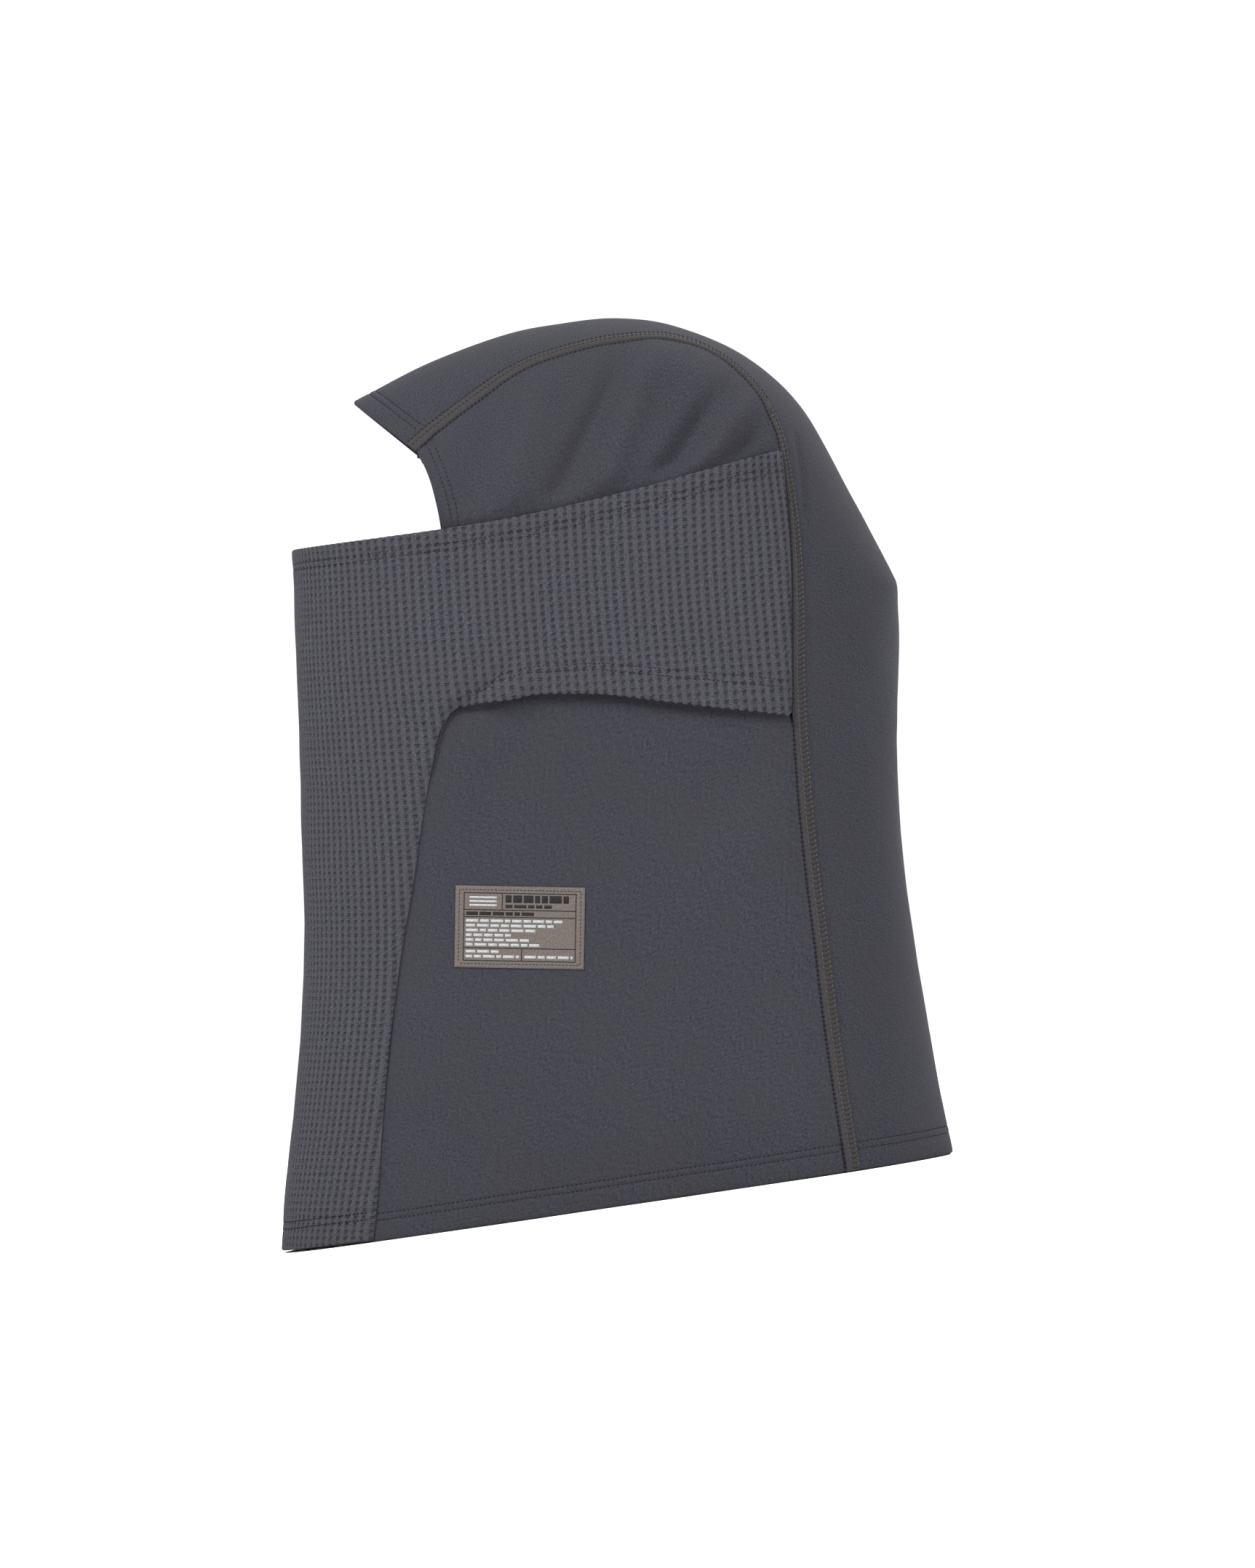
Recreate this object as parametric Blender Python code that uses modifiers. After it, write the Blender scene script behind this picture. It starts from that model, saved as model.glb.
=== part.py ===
"""Balaclava with a separate face mask, opened as it stands on its hem.

Frame: +Z up, the face looks along -Y, the wearer's left is +X, and the origin is on the
ground under the middle of the hood. Panels are cut from side-view curves, given in
millimetres as (distance back from the hem's front corner, height above the hem). Each
curve is carried sideways onto a bulged form, so that panels that share a curve meet on it.
"""

import bpy
import numpy as np

MM = 0.001

# ---- overall sizes ------------------------------------------------------------------
HOOD_HEIGHT = 0.3614  # ground to the top of the crown
HOOD_DEPTH = 0.2925  # hem's front corner to the furthest point of the back
TEMPLE_HALF_WIDTH = 0.0800  # widest half, at the temples

# ---- the form between the outlines ----------------------------------------------------
ROUNDING = 0.068  # how far in from an outline the cloth reaches its full width
FULLNESS = 2.25  # exponent of the bulge: 2 is an ellipse, more is squarer
WIDEST_BACK = 0.200  # where the hood is widest, back from the hem's front corner
FRONT_TAPER = 0.14  # share of the width lost at FRONT_REACH before the widest place
FRONT_REACH = 0.150
BACK_TAPER = 0.10
BACK_REACH = 0.092

# ---- cloth, seams and threads -----------------------------------------------------------
JERSEY = 0.0012  # smooth panels
WAFFLE = 0.0018  # waffle-knit mask and bib
LAYER_GAP = 0.00075  # between two layers of cloth that lie on each other
JOIN_GAP = 0.0004  # between two panels that meet edge to edge
HEM_LIP = 0.002  # the last of every panel stands straight, so that the rim is flat
SEAM_WIDTH = 0.0055  # flatlock cover over the seam behind the side panels
SEAM_SETBACK = 0.0007  # from the seam line to the cover's near edge
SEAM_THICK = 0.0006
BIB_LAP = 0.007  # how far the bib laps over the side panels
BIB_SEAM_WIDTH = 0.0045  # overlock inside the bib's side seam
THREAD_RADIUS = 0.0003
THREAD_GAP = 0.0003  # from a thread to the cloth that it lies on
THREAD_END = 0.0012  # a row of stitches stops this far from the side edge of its panel
HEM_STEP = 0.003  # length over which a hem thread steps off a layer of cloth

# ---- stitch rows, as distances from the edge that they follow ---------------------------
BRIM_ROWS = (0.0075, 0.0103)
FACE_ROWS = (0.0055, 0.0085)
MASK_TOP_ROWS = (0.0060, 0.0085)
ARCH_ROWS = (0.0090, 0.0114)
HEM_ROWS = (0.0086, 0.0114)

# ---- woven label on the wearer's left side panel ------------------------------------------
LABEL_LENGTH = 0.0530
LABEL_HEIGHT = 0.0335
LABEL_SLOPE = -9.5  # degrees, down towards the back
LABEL_CENTRE = (118.5, 118.4)
LABEL_THICK = 0.0006
LABEL_STITCH_INSET = 0.0016

# ---- the mask's swing ---------------------------------------------------------------------
MASK_HINGE = (243.0, 200.0)  # on the rear seam, near the foot of the mask
MASK_SPLIT = 150.0  # the mask in front of this swings; behind it the cloth stretches

# ---- grid sizes ---------------------------------------------------------------------------
SEAM_STATIONS = 40  # shared by the panels that meet on the crown seam
FINE = 121  # samples across a dense sheet
CROWN_COLUMNS = 12  # spans between the flatlock covers
SIDE_COLUMNS = 13
SEAM_LINES = 3  # across a flatlock cover
BIB_SEAM_LINES = 3  # across the overlock inside a bib seam
MASK_STATIONS = 11  # dense rows of the mask's sheets
MASK_ROWS = 9
MASK_FRONT_COLUMNS = 30
MASK_SIDE_COLUMNS = 10
BIB_STATIONS = 20
BIB_ROWS = 18
BIB_COLUMNS = 20
HEM_POINTS = 46  # round half of the hem
LABEL_ROWS = 6
LABEL_COLUMNS = 9
LABEL_STITCH_POINTS = 32
SAME_LINE = 0.002  # two grid lines closer than this share count as one
CORNER_CUT = 0.12  # share of the first span left off at the side panels' pointed top
SIDE_CROWDING = 1.3  # packs the side panels' columns towards the rounder front edge

# ---- side-view curves, in millimetres -----------------------------------------------------
PATTERN_HEIGHT = 361.4
PATTERN_DEPTH = 292.5
CROWN_AND_BACK = [
    (81.7, 342.5), (115, 353.6), (148, 360.6), (172, 361.4), (195, 360), (218, 353.5),
    (244, 337.5), (264, 313), (279, 275), (286, 255), (292.5, 236), (289.5, 209),
    (283.6, 174), (279.4, 138), (278.1, 84), (278.7, 47), (280.2, 0),
]
CROWN_SEAM = [
    (105, 317), (118.7, 325.7), (149.6, 342.4), (179, 348.6), (207, 348.4), (227.8, 342),
    (243.4, 326.6), (252, 306), (252.5, 281), (249.4, 244), (241.7, 188), (238, 134),
    (236.4, 85), (235.4, 39), (235.2, 0),
]
FACE_EDGE = [
    (105, 317), (107.6, 309), (109.2, 300), (110, 284.5), (109, 262), (105, 238), (98, 215),
]
BIB_SEAM = [
    (40.3, 0), (46.5, 25), (53, 55.5), (60.7, 86), (70, 118), (77.6, 141), (85, 166),
    (92.4, 188), (98.4, 203.5), (106, 211),
]
FRONT = [
    (0, 0), (5.7, 24), (14.8, 59), (23.4, 94), (29.5, 130), (34, 165), (38.3, 201),
    (42.7, 237), (48.4, 285.2),
]
FACE_FRONT = [(46, 211), (59, 250), (66, 285), (67, 317), (64, 345)]
MASK_TOP = [(48.4, 285.2), (110, 284.5), (150, 285.2), (204.6, 290), (252.2, 296)]
ARCH = [(106, 211), (128, 211.3), (150, 210.5), (189, 201.5), (216, 194), (241.3, 187.5)]
CHIN = 211.0  # height of the line where the mask ends and the bib begins
REAR_SEAM_TOP = 306.0  # below this the crown seam only climbs
HALF_WIDTHS = [  # (height, half width) in millimetres, never growing from 300 down to 140
    (0, 84), (25, 81.5), (60, 77), (100, 73.5), (140, 72), (170, 73), (210, 76), (250, 79),
    (300, 80), (330, 80), (365, 80),
]

OUTER_OUT = LAYER_GAP + WAFFLE  # outer face of the waffle layer, from the smooth cloth's outer face

CHARCOAL = (0.062, 0.062, 0.074, 1.0)
WAFFLE_GREY = (0.080, 0.080, 0.092, 1.0)
SEAM_BROWN = (0.098, 0.084, 0.080, 1.0)
LABEL_BROWN = (0.195, 0.156, 0.140, 1.0)


# ======== curves and the bulged form =========================================================


def spline(points, per_span=16):
    """Catmull-Rom curve through the points, sampled densely."""
    points = np.asarray(points, float)
    ends = np.vstack([2 * points[0] - points[1], points, 2 * points[-1] - points[-2]])
    t = np.linspace(0, 1, per_span, endpoint=False)[:, None]
    spans = [
        b + (c - a) / 2 * t + (2 * a - 5 * b + 4 * c - d) / 2 * t**2 + (3 * b - a - 3 * c + d) / 2 * t**3
        for a, b, c, d in zip(ends[:-3], ends[1:-2], ends[2:-1], ends[3:])
    ]
    return np.vstack(spans + [points[-1:]])


def placed(points):
    """Side-view millimetres to metres in the hood's frame, scaled to the overall sizes."""
    points = np.asarray(points, float)
    back = (points[..., 0] / PATTERN_DEPTH - 0.5) * HOOD_DEPTH
    up = np.maximum(points[..., 1] / PATTERN_HEIGHT * HOOD_HEIGHT, HEM_LIP)
    return np.stack([back, up], axis=-1)


def curve(points):
    return placed(spline(points))


def lengths(path):
    return np.concatenate([[0], np.cumsum(np.linalg.norm(np.diff(path, axis=0), axis=1))])


def resample(path, shares):
    """The points at these shares of the path's length."""
    along = lengths(path)
    return np.column_stack([np.interp(shares * along[-1], along, axis) for axis in path.T])


def even(path, count):
    return resample(path, np.linspace(0, 1, count))


def cut_at_height(path, low, high, count):
    """Points of a path that climbs steadily, at even steps of height."""
    up = path if path[0, 1] < path[-1, 1] else path[::-1]
    heights = np.linspace(low, high, count)
    return np.column_stack([np.interp(heights, up[:, 1], up[:, 0]), heights])


def height_of(points, back):
    """Height of a side-view curve at a distance back, both in millimetres."""
    path = spline(points)
    return float(np.interp(back, path[:, 0], path[:, 1]))


def level(millimetres):
    return float(placed((0, millimetres))[1])


def inset_from(outline, line):
    """How far side-view points lie from the nearest of an outline's paths."""
    found = []
    for path in outline:
        start = path[:-1]
        span = path[1:] - start
        point = line[:, None, :]
        share = ((point - start) * span).sum(-1) / (span**2).sum(-1)
        nearest = start + np.clip(share, 0, 1)[..., None] * span
        found.append(np.sqrt(((point - nearest) ** 2).sum(-1)).min(-1))
    return np.min(found, axis=0)


def half_width(back, up):
    """Half the hood's width: a curve over the height, tapered before and behind the widest place."""
    widths = spline(HALF_WIDTHS)
    base = np.interp(up / HOOD_HEIGHT * PATTERN_HEIGHT, widths[:, 0], widths[:, 1])
    widest = WIDEST_BACK - HOOD_DEPTH / 2
    ahead = np.clip((widest - back) / FRONT_REACH, 0, None)
    behind = np.clip((back - widest) / BACK_REACH, 0, None)
    taper = 1 - FRONT_TAPER * ahead**2 - BACK_TAPER * behind**2
    return base / HALF_WIDTHS[-1][1] * TEMPLE_HALF_WIDTH * taper


def bulge(outline, line):
    """X of side-view points: a quarter of a superellipse from the outline inwards."""
    share = np.clip(inset_from(outline, line) / ROUNDING, 0, 1)
    round_share = (1 - (1 - share) ** FULLNESS) ** (1 / FULLNESS)
    return half_width(line[:, 0], line[:, 1]) * round_share


def set_in(path, distance):
    return path + np.array([distance, 0])


BACK_OUTLINE = curve(CROWN_AND_BACK)
FRONT_OUTLINE = set_in(curve(FRONT), OUTER_OUT)
THROAT_AND_FACE = set_in(curve(FRONT[:-2] + FACE_FRONT), OUTER_OUT)
HOOD_OUTLINE = (BACK_OUTLINE, THROAT_AND_FACE)
MASK_OUTLINE = (BACK_OUTLINE, FRONT_OUTLINE)


def sheet(starts, ends, outline, both_sides=False, trim=(0.0, 0.0)):
    """Dense grid of a panel: row k runs from starts[k] to ends[k], bulged to the +X side.

    With both_sides the starts lie on the outline and each row runs from the -X end over
    the middle to the +X end. trim is cut from the start and the end of every row.
    """
    reach = np.linspace(0, 1, FINE) ** 2
    rows = []
    for start, end in zip(starts, ends):
        line = start + (end - start) * reach[:, None]
        x = bulge(outline, line)
        if both_sides:
            x[0] = 0
        row = np.column_stack([x, line])
        if both_sides:
            row = np.vstack([row[:0:-1] * [-1, 1, 1], row])
        total = lengths(row)[-1]
        shares = np.linspace(trim[0] / total, 1 - trim[1] / total, FINE)
        rows.append(resample(row, shares))
    return np.array(rows)


def lifted(grid, lift):
    """The grid moved outwards by lift along its normals."""
    across = np.gradient(grid, axis=1)
    along = np.gradient(grid, axis=0)
    normal = np.cross(across, along)
    normal /= np.linalg.norm(normal, axis=2, keepdims=True)
    middle = np.array([0, 0, HOOD_HEIGHT / 2])
    if ((grid - middle) * normal).sum() < 0:
        normal = -normal
    return grid + lift * normal


def at(grid, rows, columns):
    """Points of a grid at fractional places, both given as shares from 0 to 1."""
    r, c = np.broadcast_arrays(np.asarray(rows, float), np.asarray(columns, float))
    r = np.clip(r, 0, 1) * (grid.shape[0] - 1)
    c = np.clip(c, 0, 1) * (grid.shape[1] - 1)
    r0 = np.minimum(r.astype(int), grid.shape[0] - 2)
    c0 = np.minimum(c.astype(int), grid.shape[1] - 2)
    fr = (r - r0)[..., None]
    fc = (c - c0)[..., None]
    low = grid[r0, c0] * (1 - fc) + grid[r0, c0 + 1] * fc
    high = grid[r0 + 1, c0] * (1 - fc) + grid[r0 + 1, c0 + 1] * fc
    return low * (1 - fr) + high * fr


# ======== objects ============================================================================


def clear_scene():
    for obj in list(bpy.data.objects):
        bpy.data.objects.remove(obj, do_unlink=True)


def new_collection(name):
    group = bpy.data.collections.new(name)
    bpy.context.scene.collection.children.link(group)
    return group


def cloth_material(name, colour, roughness):
    material = bpy.data.materials.new(name)
    material.use_nodes = True
    shader = material.node_tree.nodes["Principled BSDF"]
    shader.inputs["Base Color"].default_value = colour
    shader.inputs["Roughness"].default_value = roughness
    shader.inputs["Metallic"].default_value = 0.0
    return material


def add_object(name, data, colour, hinge=None):
    obj = bpy.data.objects.new(name, data)
    PARTS.objects.link(obj)
    data.materials.append(cloth_material(name, colour, 0.9))
    obj.parent = hinge
    return obj


def origin_of(hinge):
    return np.array(hinge.location) if hinge else np.zeros(3)


def add_shell(name, grid, thickness, colour, hinge=None, lip=False):
    """Panel of cloth: the grid is its outer face, and Solidify gives it thickness inwards."""
    if lip:
        rim = grid[-1:].copy()
        rim[..., 2] = 0
        grid = np.vstack([grid, rim])
    rows, columns = grid.shape[:2]
    index = np.arange(rows * columns).reshape(rows, columns)
    corners = (index[:-1, :-1], index[:-1, 1:], index[1:, 1:], index[1:, :-1])
    faces = np.stack(corners, axis=-1).reshape(-1, 4)
    diagonals = np.cross(grid[1:, 1:] - grid[:-1, :-1], grid[1:, :-1] - grid[:-1, 1:])
    outwards = (diagonals * (grid[:-1, :-1] - [0, 0, HOOD_HEIGHT / 2])).sum()
    if outwards < 0:
        faces = faces[:, ::-1]
    points = grid.reshape(-1, 3) - origin_of(hinge)
    mesh = bpy.data.meshes.new(name)
    mesh.from_pydata(points.tolist(), [], faces.tolist())
    mesh.shade_smooth()
    obj = add_object(name, mesh, colour, hinge)
    solidify = obj.modifiers.new("cloth_thickness", "SOLIDIFY")
    solidify.thickness = thickness
    solidify.offset = -1
    return obj


def add_thread(name, path, hinge=None, closed=False):
    """One continuous thread, a tube along the path."""
    data = bpy.data.curves.new(name, "CURVE")
    data.dimensions = "3D"
    data.bevel_depth = THREAD_RADIUS
    data.bevel_resolution = 0
    data.use_fill_caps = True
    line = data.splines.new("POLY")
    line.points.add(len(path) - 1)
    here = path - origin_of(hinge)
    line.points.foreach_set("co", np.column_stack([here, np.ones(len(here))]).ravel())
    line.use_cyclic_u = closed
    return add_object(name, data, SEAM_BROWN, hinge)


def mirrored(grid):
    return grid * [-1, 1, 1]


def for_sides():
    """The wearer's left is +X, and the right is its mirror image."""
    return (("left", lambda grid: grid), ("right", mirrored))


# ======== panels =============================================================================


def crown_back_sheet():
    """Crown and back panel: rows from the outline down to the crown seam, brim to hem."""
    starts = even(BACK_OUTLINE, SEAM_STATIONS)
    ends = even(curve(CROWN_SEAM), SEAM_STATIONS)
    edge = JOIN_GAP / 2
    return sheet(starts, ends, HOOD_OUTLINE, both_sides=True, trim=(edge, edge))


def share_at_height(path, up):
    """Share of a path's length at which it last passes a height on its way down."""
    along = lengths(path)
    above = np.nonzero(path[:, 1] > up)[0][-1]
    return along[above] / along[-1]


def side_sheet():
    """Side panel: rows fan out from the face edge to the crown seam, and run level below it."""
    under_bib = [(back - BIB_LAP / MM, up) for back, up in BIB_SEAM[-2::-1]]
    front_edge = curve(FACE_EDGE + under_bib)
    seam = curve(CROWN_SEAM)
    shares = np.linspace(0, 1, SEAM_STATIONS)
    fan_foot = level(MASK_TOP[0][1])
    knots = [0, share_at_height(seam, fan_foot), 1]
    front_shares = [0, share_at_height(front_edge, fan_foot), 1]
    starts = resample(front_edge, np.interp(shares, knots, front_shares))
    ends = resample(seam, shares)
    starts[0] += CORNER_CUT * (starts[2] - starts[0])
    ends[0] += CORNER_CUT * (ends[1] - ends[0])
    return sheet(starts, ends, HOOD_OUTLINE, trim=(0, JOIN_GAP / 2))


def mask_split_line():
    """Upright line where the swinging and the stretching parts of the mask meet, arch to top edge.

    Its foot is level with the foot of the swinging part, so that the chin line is straight.
    """
    low = placed((MASK_SPLIT, CHIN)) + [0, JOIN_GAP / 2]
    high = placed((MASK_SPLIT, height_of(MASK_TOP, MASK_SPLIT)))
    return low + (high - low) * np.linspace(0, 1, MASK_STATIONS)[:, None]


def mask_front_sheet():
    """Swinging part of the mask, from split to split over the nose, chin line up to the top edge."""
    gap = JOIN_GAP / 2
    starts = cut_at_height(FRONT_OUTLINE, level(CHIN) + gap, level(MASK_TOP[0][1]), MASK_STATIONS)
    ends = mask_split_line()
    return sheet(starts, ends, MASK_OUTLINE, both_sides=True, trim=(gap, gap))


def mask_side_sheet():
    """Stretching part of the mask, from the split back to the crown seam."""
    starts = mask_split_line()
    seam = curve(CROWN_SEAM)
    rear = seam[seam[:, 1].argsort()]
    rear = rear[rear[:, 1] < level(REAR_SEAM_TOP)]
    ends = cut_at_height(rear, level(ARCH[-1][1]), level(MASK_TOP[-1][1]), MASK_STATIONS)
    return sheet(starts, ends, MASK_OUTLINE, trim=(JOIN_GAP / 2, JOIN_GAP / 2))


def bib_sheet():
    """Front bib, from seam to seam over the throat, hem up to the chin line; row 0 is the top."""
    top = level(CHIN) - JOIN_GAP / 2
    starts = cut_at_height(FRONT_OUTLINE, HEM_LIP, top, BIB_STATIONS)[::-1]
    ends = even(curve(BIB_SEAM), BIB_STATIONS)[::-1]
    ends[0, 1] = top
    return sheet(starts, ends, MASK_OUTLINE, both_sides=True)


def thin(grid, rows, columns, crowding=1.0):
    """Coarser copy of a dense sheet; crowding over 1 packs the columns towards its start."""
    shares = np.linspace(0, 1, rows)[:, None]
    return at(grid, shares, np.linspace(0, 1, columns + 1)[None, :] ** crowding)


def crown_grid(dense):
    """Coarser copy of the crown and back sheet, with lines of its own under the flatlock covers."""
    cover = SEAM_SETBACK + SEAM_WIDTH * np.linspace(0, 1, SEAM_LINES)
    rows = []
    for row in dense:
        total = lengths(row)[-1]
        middle = np.linspace(cover[-1], total - cover[-1], CROWN_COLUMNS + 1)
        stops = np.concatenate([[0], cover[:-1], middle, total - cover[-2::-1], [total]])
        rows.append(resample(row, stops / total))
    return np.array(rows)


def build_panels(crown, side, mask_front, mask_side, bib, hinge):
    add_shell("crown_back_panel", crown, JERSEY, CHARCOAL, lip=True)
    add_shell("mask_front", mask_front, WAFFLE, WAFFLE_GREY, hinge=hinge)
    add_shell("front_bib", bib, WAFFLE, WAFFLE_GREY, lip=True)
    for name, turn in for_sides():
        add_shell("side_panel_" + name, turn(side), JERSEY, CHARCOAL, lip=True)
        add_shell("mask_side_" + name, turn(mask_side), WAFFLE, WAFFLE_GREY)


# ======== seams and threads ==================================================================

ON_CLOTH = THREAD_GAP + THREAD_RADIUS  # from the cloth to the middle of a thread on it


def from_edge(grid, rows, distance):
    """Columns that lie a distance along each row from its start."""
    shares = np.linspace(0, 1, 4 * grid.shape[1])
    found = []
    for row, wanted in zip(*np.broadcast_arrays(rows, distance)):
        found.append(np.interp(wanted, lengths(at(grid, row, shares)), shares))
    return np.array(found)


def own_lines(count, low, high):
    """The grid's own lines from low to high, with both ends, so that a thread bends where it does."""
    lines = np.linspace(0, 1, count)
    inner = lines[(lines > low + SAME_LINE) & (lines < high - SAME_LINE)]
    return np.concatenate([[low], inner, [high]])


def clear_of_edges(grid):
    """Shares of a panel's first row at which a row of stitches starts and ends."""
    share = THREAD_END / lengths(grid[0])[-1]
    return share, 1 - share


def build_crown_seams(crown):
    """Flatlock covers along the crown seam, over the crown panel's own lines beside it."""
    strip = lifted(crown, THREAD_GAP + SEAM_THICK)[:, -2:-2 - SEAM_LINES:-1]
    for name, turn in for_sides():
        add_shell("crown_seam_" + name, turn(strip), SEAM_THICK, SEAM_BROWN, lip=True)


def build_bib_seams(side):
    """Overlock threads inside the side panels' front edges, where the bib is sewn on."""
    inside = lifted(side, -JERSEY - THREAD_GAP)
    seam_top = placed(BIB_SEAM[-2])[1]
    first = int(np.argmax(side[:, 0, 2] < seam_top))
    rows = np.arange(first, len(side) - 1) / (len(side) - 1)
    setbacks = np.linspace(0, BIB_SEAM_WIDTH, BIB_SEAM_LINES)
    lines = [at(inside, rows, from_edge(side, rows, setback)) for setback in setbacks]
    strip = np.stack(lines, axis=1)
    for name, turn in for_sides():
        add_shell("bib_seam_" + name, turn(strip), SEAM_THICK, SEAM_BROWN)


def build_brim_stitches(crown):
    """Twin rows across the brim, from crown seam to crown seam."""
    top = lifted(crown, ON_CLOTH)
    length = lengths(crown[:, crown.shape[1] // 2])[-1]
    clear = SEAM_SETBACK + SEAM_WIDTH + 3 * THREAD_GAP
    for number, distance in enumerate(BRIM_ROWS, 1):
        row = distance / length
        start = from_edge(crown, [row], clear)[0]
        columns = own_lines(crown.shape[1], start, 1 - start)
        add_thread(f"brim_stitch_{number}", at(top, row, columns))


def build_face_stitches(side):
    """Twin rows along the face edge, from below the brim's corner down to the chin."""
    top = lifted(side, ON_CLOTH)
    reach = np.array([lengths(row)[-1] for row in side])
    last = int(np.argmax(side[:, 0, 2] < placed(FACE_EDGE[-1])[1]))
    first = int(np.argmax(reach > 2 * FACE_ROWS[-1]))
    rows = np.arange(first, last + 1) / (len(side) - 1)
    for number, distance in enumerate(FACE_ROWS, 1):
        path = at(top, rows, from_edge(side, rows, distance))
        for name, turn in for_sides():
            add_thread(f"face_stitch_{name}_{number}", turn(path))


def build_mask_stitches(mask_front, mask_side, hinge):
    """Twin rows under the mask's top edge and over its arch, on the front and on both sides."""
    front = lifted(mask_front, ON_CLOTH)
    side = lifted(mask_side, ON_CLOTH)
    middle = mask_front.shape[1] // 2
    front_tall = lengths(mask_front[:, middle])[-1]
    ends_tall = lengths(mask_front[:, -1])[-1]
    front_low, front_high = clear_of_edges(mask_front)
    columns = own_lines(mask_front.shape[1], front_low, front_high)
    tall = front_tall + (ends_tall - front_tall) * np.abs(2 * columns - 1)
    side_columns = own_lines(mask_side.shape[1], *clear_of_edges(mask_side))
    side_tall = np.interp(
        side_columns, [0, 1], [lengths(mask_side[:, 0])[-1], lengths(mask_side[:, -1])[-1]]
    )
    for number, distance in enumerate(MASK_TOP_ROWS, 1):
        add_thread(f"mask_top_stitch_front_{number}", at(front, 1 - distance / tall, columns), hinge)
        path = at(side, 1 - distance / side_tall, side_columns)
        for name, turn in for_sides():
            add_thread(f"mask_top_stitch_{name}_{number}", turn(path))
    corner_back = placed(ARCH[0])[0]
    half_row = mask_front[0, middle:]
    corner = np.interp(corner_back, half_row[:, 1], np.linspace(0.5, 1, len(half_row)))
    arch_columns = own_lines(mask_front.shape[1], corner, front_high)
    for number, distance in enumerate(ARCH_ROWS, 1):
        front_path = at(front, distance / ends_tall, arch_columns)
        side_path = at(side, distance / side_tall, side_columns)
        for name, turn in for_sides():
            add_thread(f"arch_stitch_front_{name}_{number}", turn(front_path), hinge)
            add_thread(f"arch_stitch_{name}_{number}", turn(side_path))


def build_hem_stitches():
    """Twin closed rows round the hem, over the bib, the side panels, the seams and the back."""
    lift_on_bib = OUTER_OUT + ON_CLOTH
    lift_on_seam = THREAD_GAP + SEAM_THICK + ON_CLOTH
    bib_seam = curve(BIB_SEAM)
    crown_seam = curve(CROWN_SEAM)[::-1]
    for number, up in enumerate(HEM_ROWS, 1):
        front = np.array([np.interp(up, FRONT_OUTLINE[:, 1], FRONT_OUTLINE[:, 0]), up])
        back = np.array([np.interp(up, BACK_OUTLINE[::-1, 1], BACK_OUTLINE[::-1, 0]), up])
        reach = (1 - np.cos(np.linspace(0, np.pi, FINE * 3))) / 2
        line = front + (back - front) * reach[:, None]
        x = bulge(HOOD_OUTLINE, line)
        x[[0, -1]] = 0
        half = even(np.column_stack([x, line]), HEM_POINTS)
        bib_edge = np.interp(up, bib_seam[:, 1], bib_seam[:, 0])
        seam_edge = np.interp(up, crown_seam[:, 1], crown_seam[:, 0])
        cover_edge = seam_edge + SEAM_SETBACK + SEAM_WIDTH
        knots = [bib_edge, bib_edge + HEM_STEP, seam_edge - HEM_STEP, seam_edge,
                 cover_edge, cover_edge + HEM_STEP]
        lifts = [lift_on_bib, ON_CLOTH, ON_CLOTH, lift_on_seam, lift_on_seam, ON_CLOTH]
        share = np.linspace(0, 1, len(half))
        wanted = np.sort(np.concatenate([share, np.interp(knots, half[:, 1], share)]))
        keep = np.concatenate([[True], np.diff(wanted) > 0.2 / len(half)])
        path = resample(half, wanted[keep])
        run = np.gradient(path, axis=0)
        normal = np.column_stack([run[:, 1], -run[:, 0], np.zeros(len(run))])
        normal /= np.linalg.norm(normal, axis=1, keepdims=True)
        normal[0] = (0, -1, 0)
        normal[-1] = (0, 1, 0)
        path = path + normal * np.interp(path[:, 1], knots, lifts)[:, None]
        ring = np.vstack([path, mirrored(path)[-2:0:-1]])
        add_thread(f"hem_stitch_{number}", ring, closed=True)


# ======== label ==============================================================================


def label_points(along, up, lift):
    """Points of the label, from places in its own plane, laid on the side panel."""
    slope = np.radians(LABEL_SLOPE)
    centre = placed(LABEL_CENTRE)
    back = centre[0] + along * np.cos(slope) - up * np.sin(slope)
    height = centre[1] + along * np.sin(slope) + up * np.cos(slope)
    line = np.stack([back.ravel(), height.ravel()], axis=1)
    step = 0.5 * MM
    x = bulge(HOOD_OUTLINE, line)
    over_back = (bulge(HOOD_OUTLINE, line + [step, 0]) - x) / step
    over_up = (bulge(HOOD_OUTLINE, line + [0, step]) - x) / step
    normal = np.column_stack([np.ones(len(x)), -over_back, -over_up])
    normal /= np.linalg.norm(normal, axis=1, keepdims=True)
    return (np.column_stack([x, line]) + lift * normal).reshape(back.shape + (3,))


def build_label():
    """Woven label and the thread that holds it round its border."""
    along = np.linspace(-0.5, 0.5, LABEL_COLUMNS)[None, :] * LABEL_LENGTH
    up = np.linspace(-0.5, 0.5, LABEL_ROWS)[:, None] * LABEL_HEIGHT
    along, up = np.broadcast_arrays(along, up)
    add_shell("woven_label", label_points(along, up, LAYER_GAP + LABEL_THICK), LABEL_THICK, LABEL_BROWN)
    half_long = LABEL_LENGTH / 2 - LABEL_STITCH_INSET
    half_high = LABEL_HEIGHT / 2 - LABEL_STITCH_INSET
    corners = np.array([(-1, -1), (1, -1), (1, 1), (-1, 1), (-1, -1)]) * [half_long, half_high]
    ring = even(corners, LABEL_STITCH_POINTS + 1)[:-1]
    lift = LAYER_GAP + LABEL_THICK + ON_CLOTH
    add_thread("label_stitch", label_points(ring[:, 0], ring[:, 1], lift), closed=True)


# ======== the whole ==========================================================================


def mask_hinge():
    hinge = bpy.data.objects.new("mask_hinge", None)
    back, up = placed(MASK_HINGE)
    hinge.location = (0, back, up)
    hinge.empty_display_size = 0.03
    PARTS.objects.link(hinge)
    return hinge


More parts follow.
